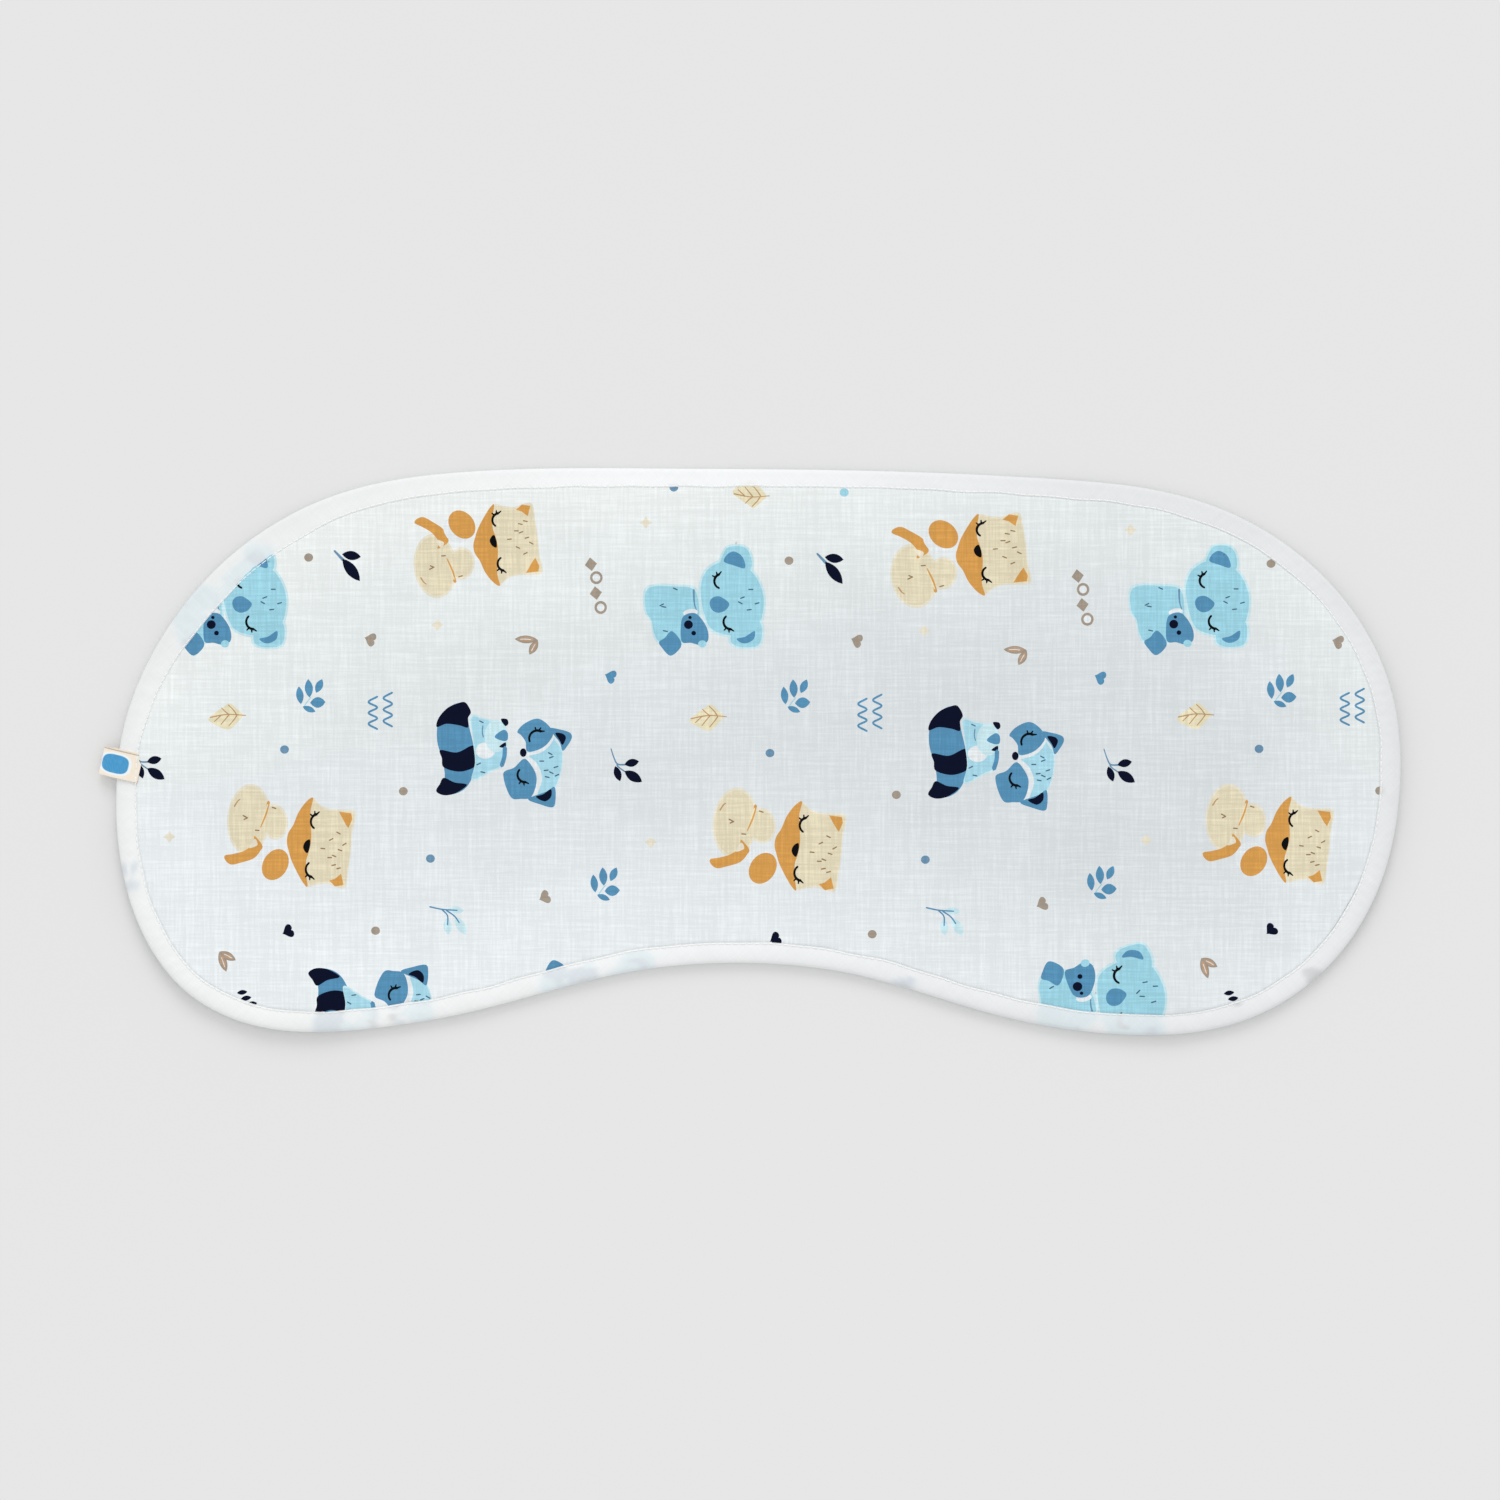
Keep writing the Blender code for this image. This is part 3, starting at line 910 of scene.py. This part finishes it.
def print_shapes():
    """Every shape of the print in place, lowest first, with its ink."""
    shapes = []
    inks = []
    for parts, x, y, repeats, climb in MOTIFS:
        for repeat in repeats:
            middle_x = x + repeat * (REPEAT - REPEAT_SLANT * y)
            bow = BOW_RISE * (middle_x / BOW_REACH) ** 2 * float(np.clip((40 - y) / 25, 0, 1))
            middle = (middle_x + cloth_give(middle_x), y + repeat * climb + bow)
            for points, ink in parts:
                placed = np.asarray(points) + middle
                area = np.cross(placed, np.roll(placed, -1, axis=0)).sum()
                shapes.append(placed[::-1] if area < 0 else placed)
                inks.append(ink)
    return shapes, inks


# ---- plies

PUCKER_INSET = 9.0
PUCKER_REACH = 6.0
BACK_LANDS = 26.0
FRONT_SINKS = (12.0, 50.0)


def panel_mesh(rings, spacing, pitch, shapes=()):
    """Triangles of a ply: rings that follow the seam, and a grid inside them."""
    count = round(edge.length / spacing)
    border = [ring_in_seam(count, u) for u in rings]
    inside = hexagonal_grid(pitch, rings[-1] + pitch * 0.7)
    return triangulate(np.vstack((*border, inside)), count, shapes)


def pucker_share(u):
    """How much of the seam's puckers is left at that inset."""
    return np.exp(-np.maximum(u - PUCKER_INSET, 0) / PUCKER_REACH)


def front_height(places):
    """Middle of the printed panel: pressed down in the seam, puffed beside it, flat inside."""
    u, s = edge.locate(places)
    inside = u - lip_drift(s, 1)
    height = FRONT_AT_SEAM + (FRONT_BY_SEAM - FRONT_AT_SEAM) * smooth_step(inside, 8.0, 8.45)
    height += (FRONT_INSIDE - FRONT_BY_SEAM) * smooth_step(inside, *FRONT_SINKS)
    loose = smooth_step(inside, 8.6, 10.5)
    height += loose * pucker_share(inside) * pucker(s)
    height += loose * crinkle(places)
    return MIDDLE + lie(places) + height


def back_height(places):
    """Middle of the plain panel: it leaves the seam and comes down to lie on the floor."""
    u, s = edge.locate(places)
    height = -FRONT_AT_SEAM + (BACK_INSIDE + FRONT_AT_SEAM) * smooth_step(u, 8.4, BACK_LANDS)
    height += smooth_step(u, 8.4, 10.5) * pucker_share(u) * 0.7 * pucker(-s)
    return np.maximum(MIDDLE + lie(places) + height, FLOOR_CLEARANCE + PANEL_THICKNESS / 2)


def between(share):
    """Middle of an inner ply, at that share of the way from the back panel to the front."""
    return lambda places: back_height(places) + share * (front_height(places) - back_height(places))


# How far painted light lifts the muslin towards its lit tone: to the left, beside the binding, off the
# middle; the middle keeps a painted shade.
PAINTED_LIGHT_LEFT = 0.42
PAINTED_LIGHT_BESIDE = 0.58
PAINTED_LIGHT_OFF_MIDDLE = 0.4
BESIDE_REACH = 75


def painted_light_towards_left(places):
    """Share of painted light: 1 at the left end of the cloth, where it is painted lightest, and 0 on its
    right half.
    """
    return np.clip((80 - places[:, 0]) / 280, 0, 1)


def bare_colour_with_painted_light(places):
    """The unprinted muslin with painted light and shade: darker in its middle, lighter towards the
    binding, to the left and off the middle, with a slightly bluer lit tone on the lower side.
    """
    u, _ = edge.locate(places)
    x, y = places.T
    beside = np.clip(1 - u / BESIDE_REACH, 0, 1) ** 1.3
    off_middle = np.clip((np.abs(y) - 20) / 80, 0, 1) * np.clip((130 - x) / 150, 0, 1)
    # Painted shade in the middle, painted light towards the left, beside the binding and off the middle.
    plain = (1 - PAINTED_LIGHT_LEFT * painted_light_towards_left(places)) * (1 - PAINTED_LIGHT_BESIDE * beside)
    plain *= 1 - PAINTED_LIGHT_OFF_MIDDLE * off_middle
    low = smooth_step(-y, -20, 40)[:, None]
    painted_lit_colour = (1 - low) * BARE_PAINTED_LIT + low * BARE_PAINTED_LIT_LOW
    return plain[:, None] * BARE + (1 - plain[:, None]) * painted_lit_colour


def store_colour(piece, name, domain, colours):
    attribute = piece.data.color_attributes.new(name, "FLOAT_COLOR", domain)
    attribute.data.foreach_set("color", np.asarray(colours, dtype=np.float32).ravel())


def make_front():
    """The printed panel, and a function that gives the print's colour at a plan point."""
    shapes, inks = print_shapes()
    points, faces, topmost = panel_mesh(FRONT_RINGS, FRONT_SPACING, FRONT_PITCH, shapes)
    colours = np.array([(*BARE, 0.0)] + [(*INKS[ink], 1.0) for ink in inks])[topmost]
    corners = np.repeat(colours, 3, axis=0)
    bare = corners[:, 3] == 0
    corners[bare, :3] = bare_colour_with_painted_light(points)[np.ravel(faces)][bare]
    lying = np.column_stack((points, front_height(points)))
    panel = new_piece("printed_muslin_face", lying, faces, PANEL_THICKNESS)
    store_colour(panel, "print", "CORNER", corners)
    flat = BVHTree.FromPolygons([(x, y, 0) for x, y in points], faces)
    return panel, lambda x, y: colours[flat.find_nearest((x, y, 0))[2]]


def make_ply(name, pitch, height, thickness):
    points, faces, _ = panel_mesh(PLY_RINGS, pitch, pitch)
    return new_piece(name, np.column_stack((points, height(points))), faces, thickness)


# ---- binding and seam

def faces_round(rows, count, closed):
    """Quads between rows of points that each run round the cloth. The rows of a thread close up."""
    around = np.arange(count)
    ahead = (around + 1) % count
    order = (0, 3, 2, 1) if closed else (0, 1, 2, 3)
    faces = []
    for row in range(rows if closed else rows - 1):
        low = row * count
        high = (row + 1) % rows * count
        corners = (low + around, high + around, high + ahead, low + ahead)
        faces += zip(*(corners[corner].tolist() for corner in order))
    return faces


def binding_colours(section, points, count, colour_at):
    """White cotton with painted shade at the cloth's edge, painted light inwards, to the left, along the
    lower side and round the middle of each side, and the print shining through it.
    """
    # Painted light: the binding is painted whiter towards the left end.
    share = painted_light_towards_left(points)[:, None]
    # Painted shade: darkest at the cloth's rounded outer edge, lighter inwards.
    painted_edge_shade = np.repeat([0.97 + 0.05 * smooth_step(u, 0.5, 6) for u, _ in section], count)[:, None]
    colours = np.ones((len(points), 4))
    x, y = points[:, :1], points[:, 1:2]
    # Painted light along the lower side and round the middle of each side.
    painted_light = 1 + PAINTED_LIGHT_LOWER * smooth_step(-y, 20, 90)
    above = PAINTED_LIGHT_MIDDLE_ABOVE * bell(x, -20, 110)
    painted_light += np.where(y > 0, above, PAINTED_LIGHT_MIDDLE_BELOW * bell(x, -30, 95))
    colours[:, :3] = ((1 - share) * BINDING + share * BINDING_PAINTED_LIT) * painted_edge_shade * painted_light
    below = np.zeros((len(section), count, 4))
    for row in range(FACE_START, len(section) // 2):
        for place in range(count):
            x, y, _ = points[row * count + place]
            below[row, place] = colour_at(x, y)
    below[:, :, :3] *= below[:, :, 3:]
    for _ in range(SHOW_BLUR_PASSES):
        below = (np.roll(below, 1, axis=1) + 2 * below + np.roll(below, -1, axis=1)) / 4
    below = below.reshape(-1, 4) * SHOW_THROUGH
    colours[:, :3] = colours[:, :3] * (1 - below[:, 3:]) + below[:, :3]
    return colours


def make_binding(colour_at):
    """One bias strip folded over the edge, both its long edges turned in."""
    upper = (*STRIP_HEM, *STRIP_LIP, *STRIP_FACE)
    section = [*upper, STRIP_NOSE, *((u, -h) for u, h in reversed(upper))]
    count = STITCHES * SAMPLES_PER_STITCH
    base, inward = edge.ring(count)
    s = np.arange(count) * edge.length / count
    at_hole = np.arange(count) % SAMPLES_PER_STITCH == 0
    rest = lie(base + inward * 4)
    rows = []
    for place, (u, h) in enumerate(section):
        side = math.copysign(1, h)
        on_face = FACE_START <= min(place, len(section) - 1 - place)
        drift = lip_drift(s, side) * lip_share(u)
        height = np.full(count, float(h))
        if on_face:
            wrinkle = strip_wrinkle(s + 3.1 * u + SIDE_PHASE / 2 * side)
            height += side * wrinkle * smooth_step(u, 0.2, 1.5) * (1 - smooth_step(u, 6.2, 7.3))
            height += side * 0.5 * pucker(s) * smooth_step(u, 0.6, 3) * (1 - smooth_step(u, 5.5, 7.6))
            dip = HOLE_DIP if u == SEAM_INSET else HOLE_SIDE_DIP if abs(u - SEAM_INSET) < 0.3 else 0.0
            height -= side * dip * at_hole
        rows.append(np.column_stack((base + inward * (u + drift)[:, None], MIDDLE + rest + height)))
    points = np.vstack(rows)
    points[:, 2] = np.maximum(points[:, 2], FLOOR_CLEARANCE + STRIP_THICKNESS / 2)
    faces = faces_round(len(section), count, closed=False)
    binding = new_piece("folded_bias_binding", points, faces, STRIP_THICKNESS)
    store_colour(binding, "cloth", "POINT", binding_colours(section, points, count, colour_at))
    # Marks of the needle holes, where the binding's material paints shade.
    hole_shade_marks = np.zeros((len(section), count, 4))
    for place, (u, _) in enumerate(section):
        hole_shade_marks[place, at_hole] = float(u == SEAM_INSET)
    store_colour(binding, "hole", "POINT", hole_shade_marks.reshape(-1, 4))
    return binding


def make_stitches(name, side, lift_at):
    """The thread of one side of the seam: it runs over the cloth and dips into every needle hole."""
    surface = dict((u, h) for u, h in STRIP_FACE)[SEAM_INSET] + STRIP_THICKNESS / 2
    stations = [(stitch + share, rise) for stitch in range(STITCHES) for share, rise in STITCH_ARCH]
    s = np.array([station for station, _ in stations]) * edge.length / STITCHES
    rise = np.array([height for _, height in stations])
    middle = edge.at(s)
    inward = inward_normals(middle)
    line = middle + inward * (SEAM_INSET + lip_drift(s, side))[:, None]
    rest = MIDDLE + lie(middle + inward * 4)
    height = rest + side * (surface + THREAD_LIFT + rise + lift_at(line))
    radius = THREAD_RADIUS * np.where(rise < -0.2, THREAD_PINCH, 1.0)
    rows = []
    for corner in range(THREAD_SIDES):
        angle = 2 * math.pi * corner / THREAD_SIDES
        out = inward * (radius * math.cos(angle))[:, None]
        rows.append(np.column_stack((line + out, height + radius * math.sin(angle))))
    points = np.vstack(rows)
    points[:, 2] = np.maximum(points[:, 2], THREAD_CLEARANCE)
    return new_piece(name, points, faces_round(THREAD_SIDES, len(line), closed=True))


# ---- label

LABEL_OUT = np.array((-math.cos(LABEL_TILT), math.sin(LABEL_TILT)))
LABEL_SIDE = np.array((math.sin(LABEL_TILT), math.cos(LABEL_TILT)))


def label_middle():
    """Plan point where the label crosses the cloth's edge."""
    low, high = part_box("label_tab")
    centre = np.array(((low.x + high.x) / 2, (low.y + high.y) / 2)) / MM
    return centre - LABEL_OUT * (LABEL_PROUD - LABEL_LEG) / 2


def over_label(places):
    """How much higher the seam runs where it crosses the label's two layers."""
    across = (places - label_middle()) @ LABEL_SIDE
    out = (places - label_middle()) @ LABEL_OUT
    crossing = (np.abs(across) < LABEL_WIDTH / 2) & (np.abs(out + SEAM_INSET) < LABEL_CAUGHT)
    return crossing * (2 * LABEL_THICKNESS + LABEL_GAP)


def make_label():
    """The ribbon folded double over its free end, as one strip."""
    path = through((*LABEL_LOWER, *LABEL_FOLD, *LABEL_UPPER), steps=12)
    travelled = distance_along(path)
    steps = round(travelled[-1] / LABEL_STEP)
    wanted = np.linspace(0, travelled[-1], steps)
    path = points_along(path, travelled, wanted)
    share = wanted / travelled[-1]
    columns = round(LABEL_WIDTH / LABEL_STEP)
    across = np.linspace(-LABEL_WIDTH / 2, LABEL_WIDTH / 2, columns)
    origin = label_middle()
    rest = MIDDLE + float(lie((origin - LABEL_OUT * 4)[None, :])[0])
    points = []
    colours = []
    for (out, height), part in zip(path, share):
        skew = LABEL_SKEW * (1 - smooth_step(part, 0.25, 0.6)) + LABEL_SHIFT
        cup = LABEL_CUP * (across / (LABEL_WIDTH / 2)) ** 2 * smooth_step(out, -7, 0)
        plan = origin + LABEL_OUT * out + LABEL_SIDE * (across + skew)[:, None]
        points.append(np.column_stack((plan, rest + height + cup)))
        reach_x = np.abs(out - MARK_CENTRE) / (MARK_LENGTH / 2)
        reach_y = np.abs(across) / (MARK_WIDTH / 2)
        distance = ((reach_x ** 3 + reach_y ** 3) ** (1 / 3) - 1) * MARK_WIDTH / 2
        on_upper = part > 0.5
        ink = (1 - smooth_step(distance, -0.1, 0.1)) * on_upper
        halo = (1 - smooth_step(distance, MARK_HALO - 0.2, MARK_HALO + 0.2)) * on_upper
        # Painted shade: a dark line along the upper layer's edge, where the gap between the layers falls
        # in shade.
        gap_shade = smooth_step(across - LABEL_WIDTH / 2, -GAP_SHADE_WIDTH, -0.2) * on_upper
        colours.append(np.column_stack((ink, halo, gap_shade, np.ones(columns))))
    faces = []
    for row in range(steps - 1):
        for column in range(columns - 1):
            corner = row * columns + column
            faces.append((corner, corner + 1, corner + columns + 1, corner + columns))
    label = new_piece("folded_label_ribbon", np.vstack(points), faces, LABEL_THICKNESS)
    store_colour(label, "mark", "POINT", np.vstack(colours))
    return label


# ---- materials

class Nodes:
    """A small helper that adds and wires shader nodes."""

    def __init__(self, tree):
        self.tree = tree

    def put(self, value, socket):
        """Wires another node's output to a socket, or sets the socket to a constant."""
        if isinstance(value, bpy.types.NodeSocket):
            self.tree.links.new(value, socket)
        elif socket.type == "RGBA":
            socket.default_value = (*value[:3], 1.0)
        else:
            socket.default_value = value

    def add(self, kind, inputs=(), **settings):
        node = self.tree.nodes.new(kind)
        for name, value in settings.items():
            setattr(node, name, value)
        for socket, value in dict(inputs).items():
            self.put(value, node.inputs[socket])
        return node

    def math(self, operation, *values):
        return self.add("ShaderNodeMath", enumerate(values), operation=operation).outputs[0]

    def ramp(self, value, low, high, to_low, to_high):
        inputs = {"Value": value, "From Min": low, "From Max": high, "To Min": to_low, "To Max": to_high}
        return self.add("ShaderNodeMapRange", inputs, clamp=True).outputs["Result"]

    def mix(self, share, first, second):
        inputs = {0: share, 6: first, 7: second}
        return self.add("ShaderNodeMix", inputs, data_type="RGBA", clamp_factor=True).outputs[2]

    def attribute(self, name, output="Color"):
        return self.add("ShaderNodeAttribute", attribute_name=name).outputs[output]

    def scaled(self, colour, factor):
        inputs = {0: colour, "Scale": factor}
        return self.add("ShaderNodeVectorMath", inputs, operation="SCALE").outputs[0]

    def millimetres(self, rotation=0.0):
        place = self.add("ShaderNodeTexCoord").outputs["Object"]
        inputs = {"Vector": place, "Scale": (1 / MM, 1 / MM, 1 / MM), "Rotation": (0, 0, rotation)}
        return self.add("ShaderNodeMapping", inputs).outputs["Vector"]

    def noise(self, place, size, detail=2.0, roughness=0.55):
        """Noise whose grains are about size millimetres long in x, y and z."""
        per_grain = {0: place, 1: [1 / each for each in size]}
        grains = self.add("ShaderNodeVectorMath", per_grain, operation="MULTIPLY").outputs[0]
        inputs = {"Vector": grains, "Scale": 1.0, "Detail": detail, "Roughness": roughness}
        return self.add("ShaderNodeTexNoise", inputs, noise_dimensions="3D").outputs["Fac"]

    def blotches(self, size, detail, low, high):
        """Soft patches that make a cloth a little darker or lighter, as a factor."""
        return self.ramp(self.noise(self.millimetres(), (size, size, size), detail), 0.3, 0.7, low, high)


def weave_group(name, rotation, yarn, slub, slub_width):
    """Woven cloth: yarns both ways, with long uneven slubs. Gives Slub and Height, each 0 to 1."""
    group = bpy.data.node_groups.new(name, "ShaderNodeTree")
    for output in ("Slub", "Height"):
        group.interface.new_socket(output, in_out="OUTPUT", socket_type="NodeSocketFloat")
    n = Nodes(group)
    place = n.millimetres(rotation)
    warp = n.noise(place, (slub_width, slub, 50))
    weft = n.noise(place, (slub, slub_width, 50))
    long_warp = n.noise(place, (slub_width * 1.6, slub * 5, 50), 1.0)
    long_weft = n.noise(place, (slub * 5, slub_width * 1.6, 50), 1.0)
    wander = n.noise(place, (9, 9, 50), 1.0)
    axes = n.add("ShaderNodeSeparateXYZ", {0: place})
    turn = 2 * math.pi / yarn
    bent_x = n.math("MULTIPLY_ADD", wander, 5.0, n.math("MULTIPLY", axes.outputs[0], turn))
    bent_y = n.math("MULTIPLY_ADD", wander, -5.0, n.math("MULTIPLY", axes.outputs[1], turn))
    grid = n.math("MULTIPLY", n.math("SINE", bent_x), n.math("SINE", bent_y))
    crossing = n.math("MULTIPLY", n.math("ADD", warp, weft), 0.5)
    lines = n.math("MULTIPLY", n.math("ADD", long_warp, long_weft), 0.5)
    both = n.math("ADD", n.math("MULTIPLY", crossing, 0.55), n.math("MULTIPLY", lines, 0.45))
    height = n.math("MULTIPLY_ADD", grid, 0.16, n.ramp(both, 0.34, 0.66, 0.15, 0.85))
    n.add("NodeGroupOutput", {"Slub": n.ramp(both, 0.46, 0.64, 0.0, 1.0), "Height": height})
    return group


def cloth_material(name, roughness, sheen):
    """A Principled material for cloth, with its shader and a node helper."""
    material = bpy.data.materials.new(name)
    material.use_nodes = True
    shader = material.node_tree.nodes["Principled BSDF"]
    shader.inputs["Roughness"].default_value = roughness
    shader.inputs["Specular IOR Level"].default_value = 0.12
    shader.inputs["Sheen Weight"].default_value = sheen
    shader.inputs["Sheen Roughness"].default_value = 0.6
    return material, shader, Nodes(material.node_tree)


def finish_cloth(n, shader, colour, height, strength, distance):
    bump = n.add("ShaderNodeBump", {"Height": height, "Strength": strength, "Distance": distance * MM})
    n.put(colour, shader.inputs["Base Color"])
    n.put(bump.outputs["Normal"], shader.inputs["Normal"])


def woven(n, group):
    node = n.add("ShaderNodeGroup", node_tree=group)
    return node.outputs["Slub"], node.outputs["Height"]


def printed_muslin(group):
    material, shader, n = cloth_material("printed_muslin", 0.92, 0.0)
    slub, height = woven(n, group)
    on_ink = n.math("MULTIPLY", n.attribute("print", "Alpha"), n.ramp(slub, 0.0, 1.0, -0.02, 0.08))
    streaks = n.math("ADD", n.ramp(slub, 0.0, 1.0, 0.945, 1.085), on_ink)
    patches = n.ramp(n.noise(n.millimetres(), (38, 38, 60), 1.0), 0.3, 0.7, 0.98, 1.015)
    shade = n.math("MULTIPLY", streaks, patches)
    finish_cloth(n, shader, n.scaled(n.attribute("print"), shade), height, 0.5, 0.14)
    return material


def plain_muslin(group, name, colour):
    material, shader, n = cloth_material(name, 0.92, 0.05)
    slub, height = woven(n, group)
    shade = n.math("MULTIPLY", n.ramp(slub, 0.0, 1.0, 0.95, 1.03), n.blotches(60, 1.0, 0.98, 1.01))
    finish_cloth(n, shader, n.scaled(colour, shade), height, 0.6, 0.18)
    return material


def bias_cotton(group):
    material, shader, n = cloth_material("bias_cotton", 0.85, 0.08)
    slub, height = woven(n, group)
    streaks = n.ramp(slub, 0.0, 1.0, 0.975, 1.015)
    shade = n.math("MULTIPLY", streaks, n.blotches(25, 2.0, 0.985, 1.01))
    # Painted shade: darker at each needle hole, standing for the shade in its pit.
    hole_painted_shade = n.math("MULTIPLY", shade, n.ramp(n.attribute("hole", "Fac"), 0.3, 0.9, 1.0, 0.4))
    finish_cloth(n, shader, n.scaled(n.attribute("cloth"), hole_painted_shade), height, 0.35, 0.08)
    return material


def sewing_thread():
    material, shader, n = cloth_material("sewing_thread", 0.5, 0.0)
    place = n.millimetres(math.radians(35))
    twist = n.noise(place, (0.12, 0.6, 0.12), 1.0)
    finish_cloth(n, shader, n.mix(twist, srgb(243, 243, 243), srgb(254, 254, 254)), twist, 0.5, 0.05)
    return material


def label_ribbon():
    material, shader, n = cloth_material("label_ribbon", 0.55, 0.1)
    place = n.millimetres(-LABEL_TILT)
    axes = n.add("ShaderNodeSeparateXYZ", {0: place})
    ribs = n.math("SINE", n.math("MULTIPLY", axes.outputs[0], 2 * math.pi / 0.42))
    grain = n.noise(place, (0.5, 2.5, 5), 2.0)
    height = n.math("MULTIPLY_ADD", ribs, 0.2, grain)
    mark, halo, gap_shade = n.add("ShaderNodeSeparateColor", {0: n.attribute("mark")}).outputs
    cream = n.mix(grain, srgb(238, 224, 204), srgb(250, 241, 226))
    haloed = n.mix(halo, cream, srgb(238, 246, 248))
    marked = n.mix(mark, haloed, n.mix(grain, srgb(52, 134, 190), srgb(88, 170, 216)))
    # Painted shade line along the upper layer's edge.
    gap_shaded = n.mix(n.math("MULTIPLY", gap_shade, 0.6), marked, srgb(120, 108, 96))
    finish_cloth(n, shader, gap_shaded, height, 0.4, 0.06)
    return material


def floor_material():
    material, shader, n = cloth_material("plain_floor", 0.9, 0.0)
    patches = n.noise(n.millimetres(), (400, 400, 400), 1.0)
    colour = n.mix(patches, srgb(229.5, 229.5, 229.5), srgb(230.5, 230.5, 230.5))
    n.put(colour, shader.inputs["Base Color"])
    n.put(0.0, shader.inputs["Specular IOR Level"])
    return material


# ---- the pieces

def paint(piece, material):
    piece.data.materials.clear()
    piece.data.materials.append(material)


def piece_done(piece, material, node):
    paint(piece, material)
    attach(piece, "root")
    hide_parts(node)


muslin_weave = weave_group("muslin_weave", 0.0, 1.1, 10.0, 0.75)
bias_weave = weave_group("bias_weave", math.radians(45), 0.45, 4.0, 0.4)

front, print_colour = make_front()
back = make_ply("plain_muslin_back", BACK_PITCH, back_height, PANEL_THICKNESS)
inner_upper = make_ply("inner_ply_upper", CORE_PITCH, between(0.66), CORE_THICKNESS)
inner_lower = make_ply("inner_ply_lower", CORE_PITCH, between(0.34), CORE_THICKNESS)
binding = make_binding(print_colour)
needle_stitches = make_stitches("needle_stitches", 1, over_label)
bobbin_stitches = make_stitches("bobbin_stitches", -1, lambda places: 0.0)
label = make_label()

thread = sewing_thread()
core_cotton = plain_muslin(muslin_weave, "core_muslin", srgb(236, 238, 240))
back_cotton = plain_muslin(muslin_weave, "plain_muslin", srgb(238, 240, 242))
piece_done(front, printed_muslin(muslin_weave), "front_panel")
piece_done(back, back_cotton, "back_panel")
piece_done(inner_upper, core_cotton, "core_ply_upper")
piece_done(inner_lower, core_cotton, "core_ply_lower")
piece_done(binding, bias_cotton(bias_weave), "edge_binding")
piece_done(needle_stitches, thread, "needle_thread")
piece_done(bobbin_stitches, thread, "bobbin_thread")
piece_done(label, label_ribbon(), "label_tab")


# ---- stage, light and camera

FLOOR_SIDE = 6000
SKY_STRENGTH = 0.875
SUN_STRENGTH = 0.72
SUN_ANGLE = math.radians(30)
SUN_FROM = (0.03, 1.0, 0.7)
VIEW_WIDTH = 585.0
VIEW_CENTRE = (0.23, 0.6)
CAMERA_HEIGHT = 2000.0
SENSOR = 36.0


def make_floor():
    floor = level_sheet("floor", FLOOR_SIDE, FLOOR_SIDE)
    paint(floor, floor_material())


def make_light():
    """An even white sky and one wide soft sun from behind the cloth."""
    world = bpy.data.worlds.new("studio")
    world.use_nodes = True
    background = world.node_tree.nodes["Background"]
    background.inputs["Color"].default_value = (1, 1, 1, 1)
    background.inputs["Strength"].default_value = SKY_STRENGTH
    bpy.context.scene.world = world
    lamp = bpy.data.lights.new("softbox", "SUN")
    lamp.energy = SUN_STRENGTH
    lamp.angle = SUN_ANGLE
    add_object("softbox", lamp).rotation_euler = Vector(SUN_FROM).to_track_quat("Z", "Y").to_euler()


def make_camera():
    lens = bpy.data.cameras.new("camera")
    lens.sensor_width = SENSOR
    lens.lens = SENSOR * CAMERA_HEIGHT / VIEW_WIDTH
    lens.clip_end = 20
    camera = add_object("camera", lens)
    camera.location = Vector((*VIEW_CENTRE, CAMERA_HEIGHT)) * MM
    bpy.context.scene.camera = camera


make_floor()
make_light()
make_camera()
bpy.context.scene.view_settings.view_transform = "Standard"
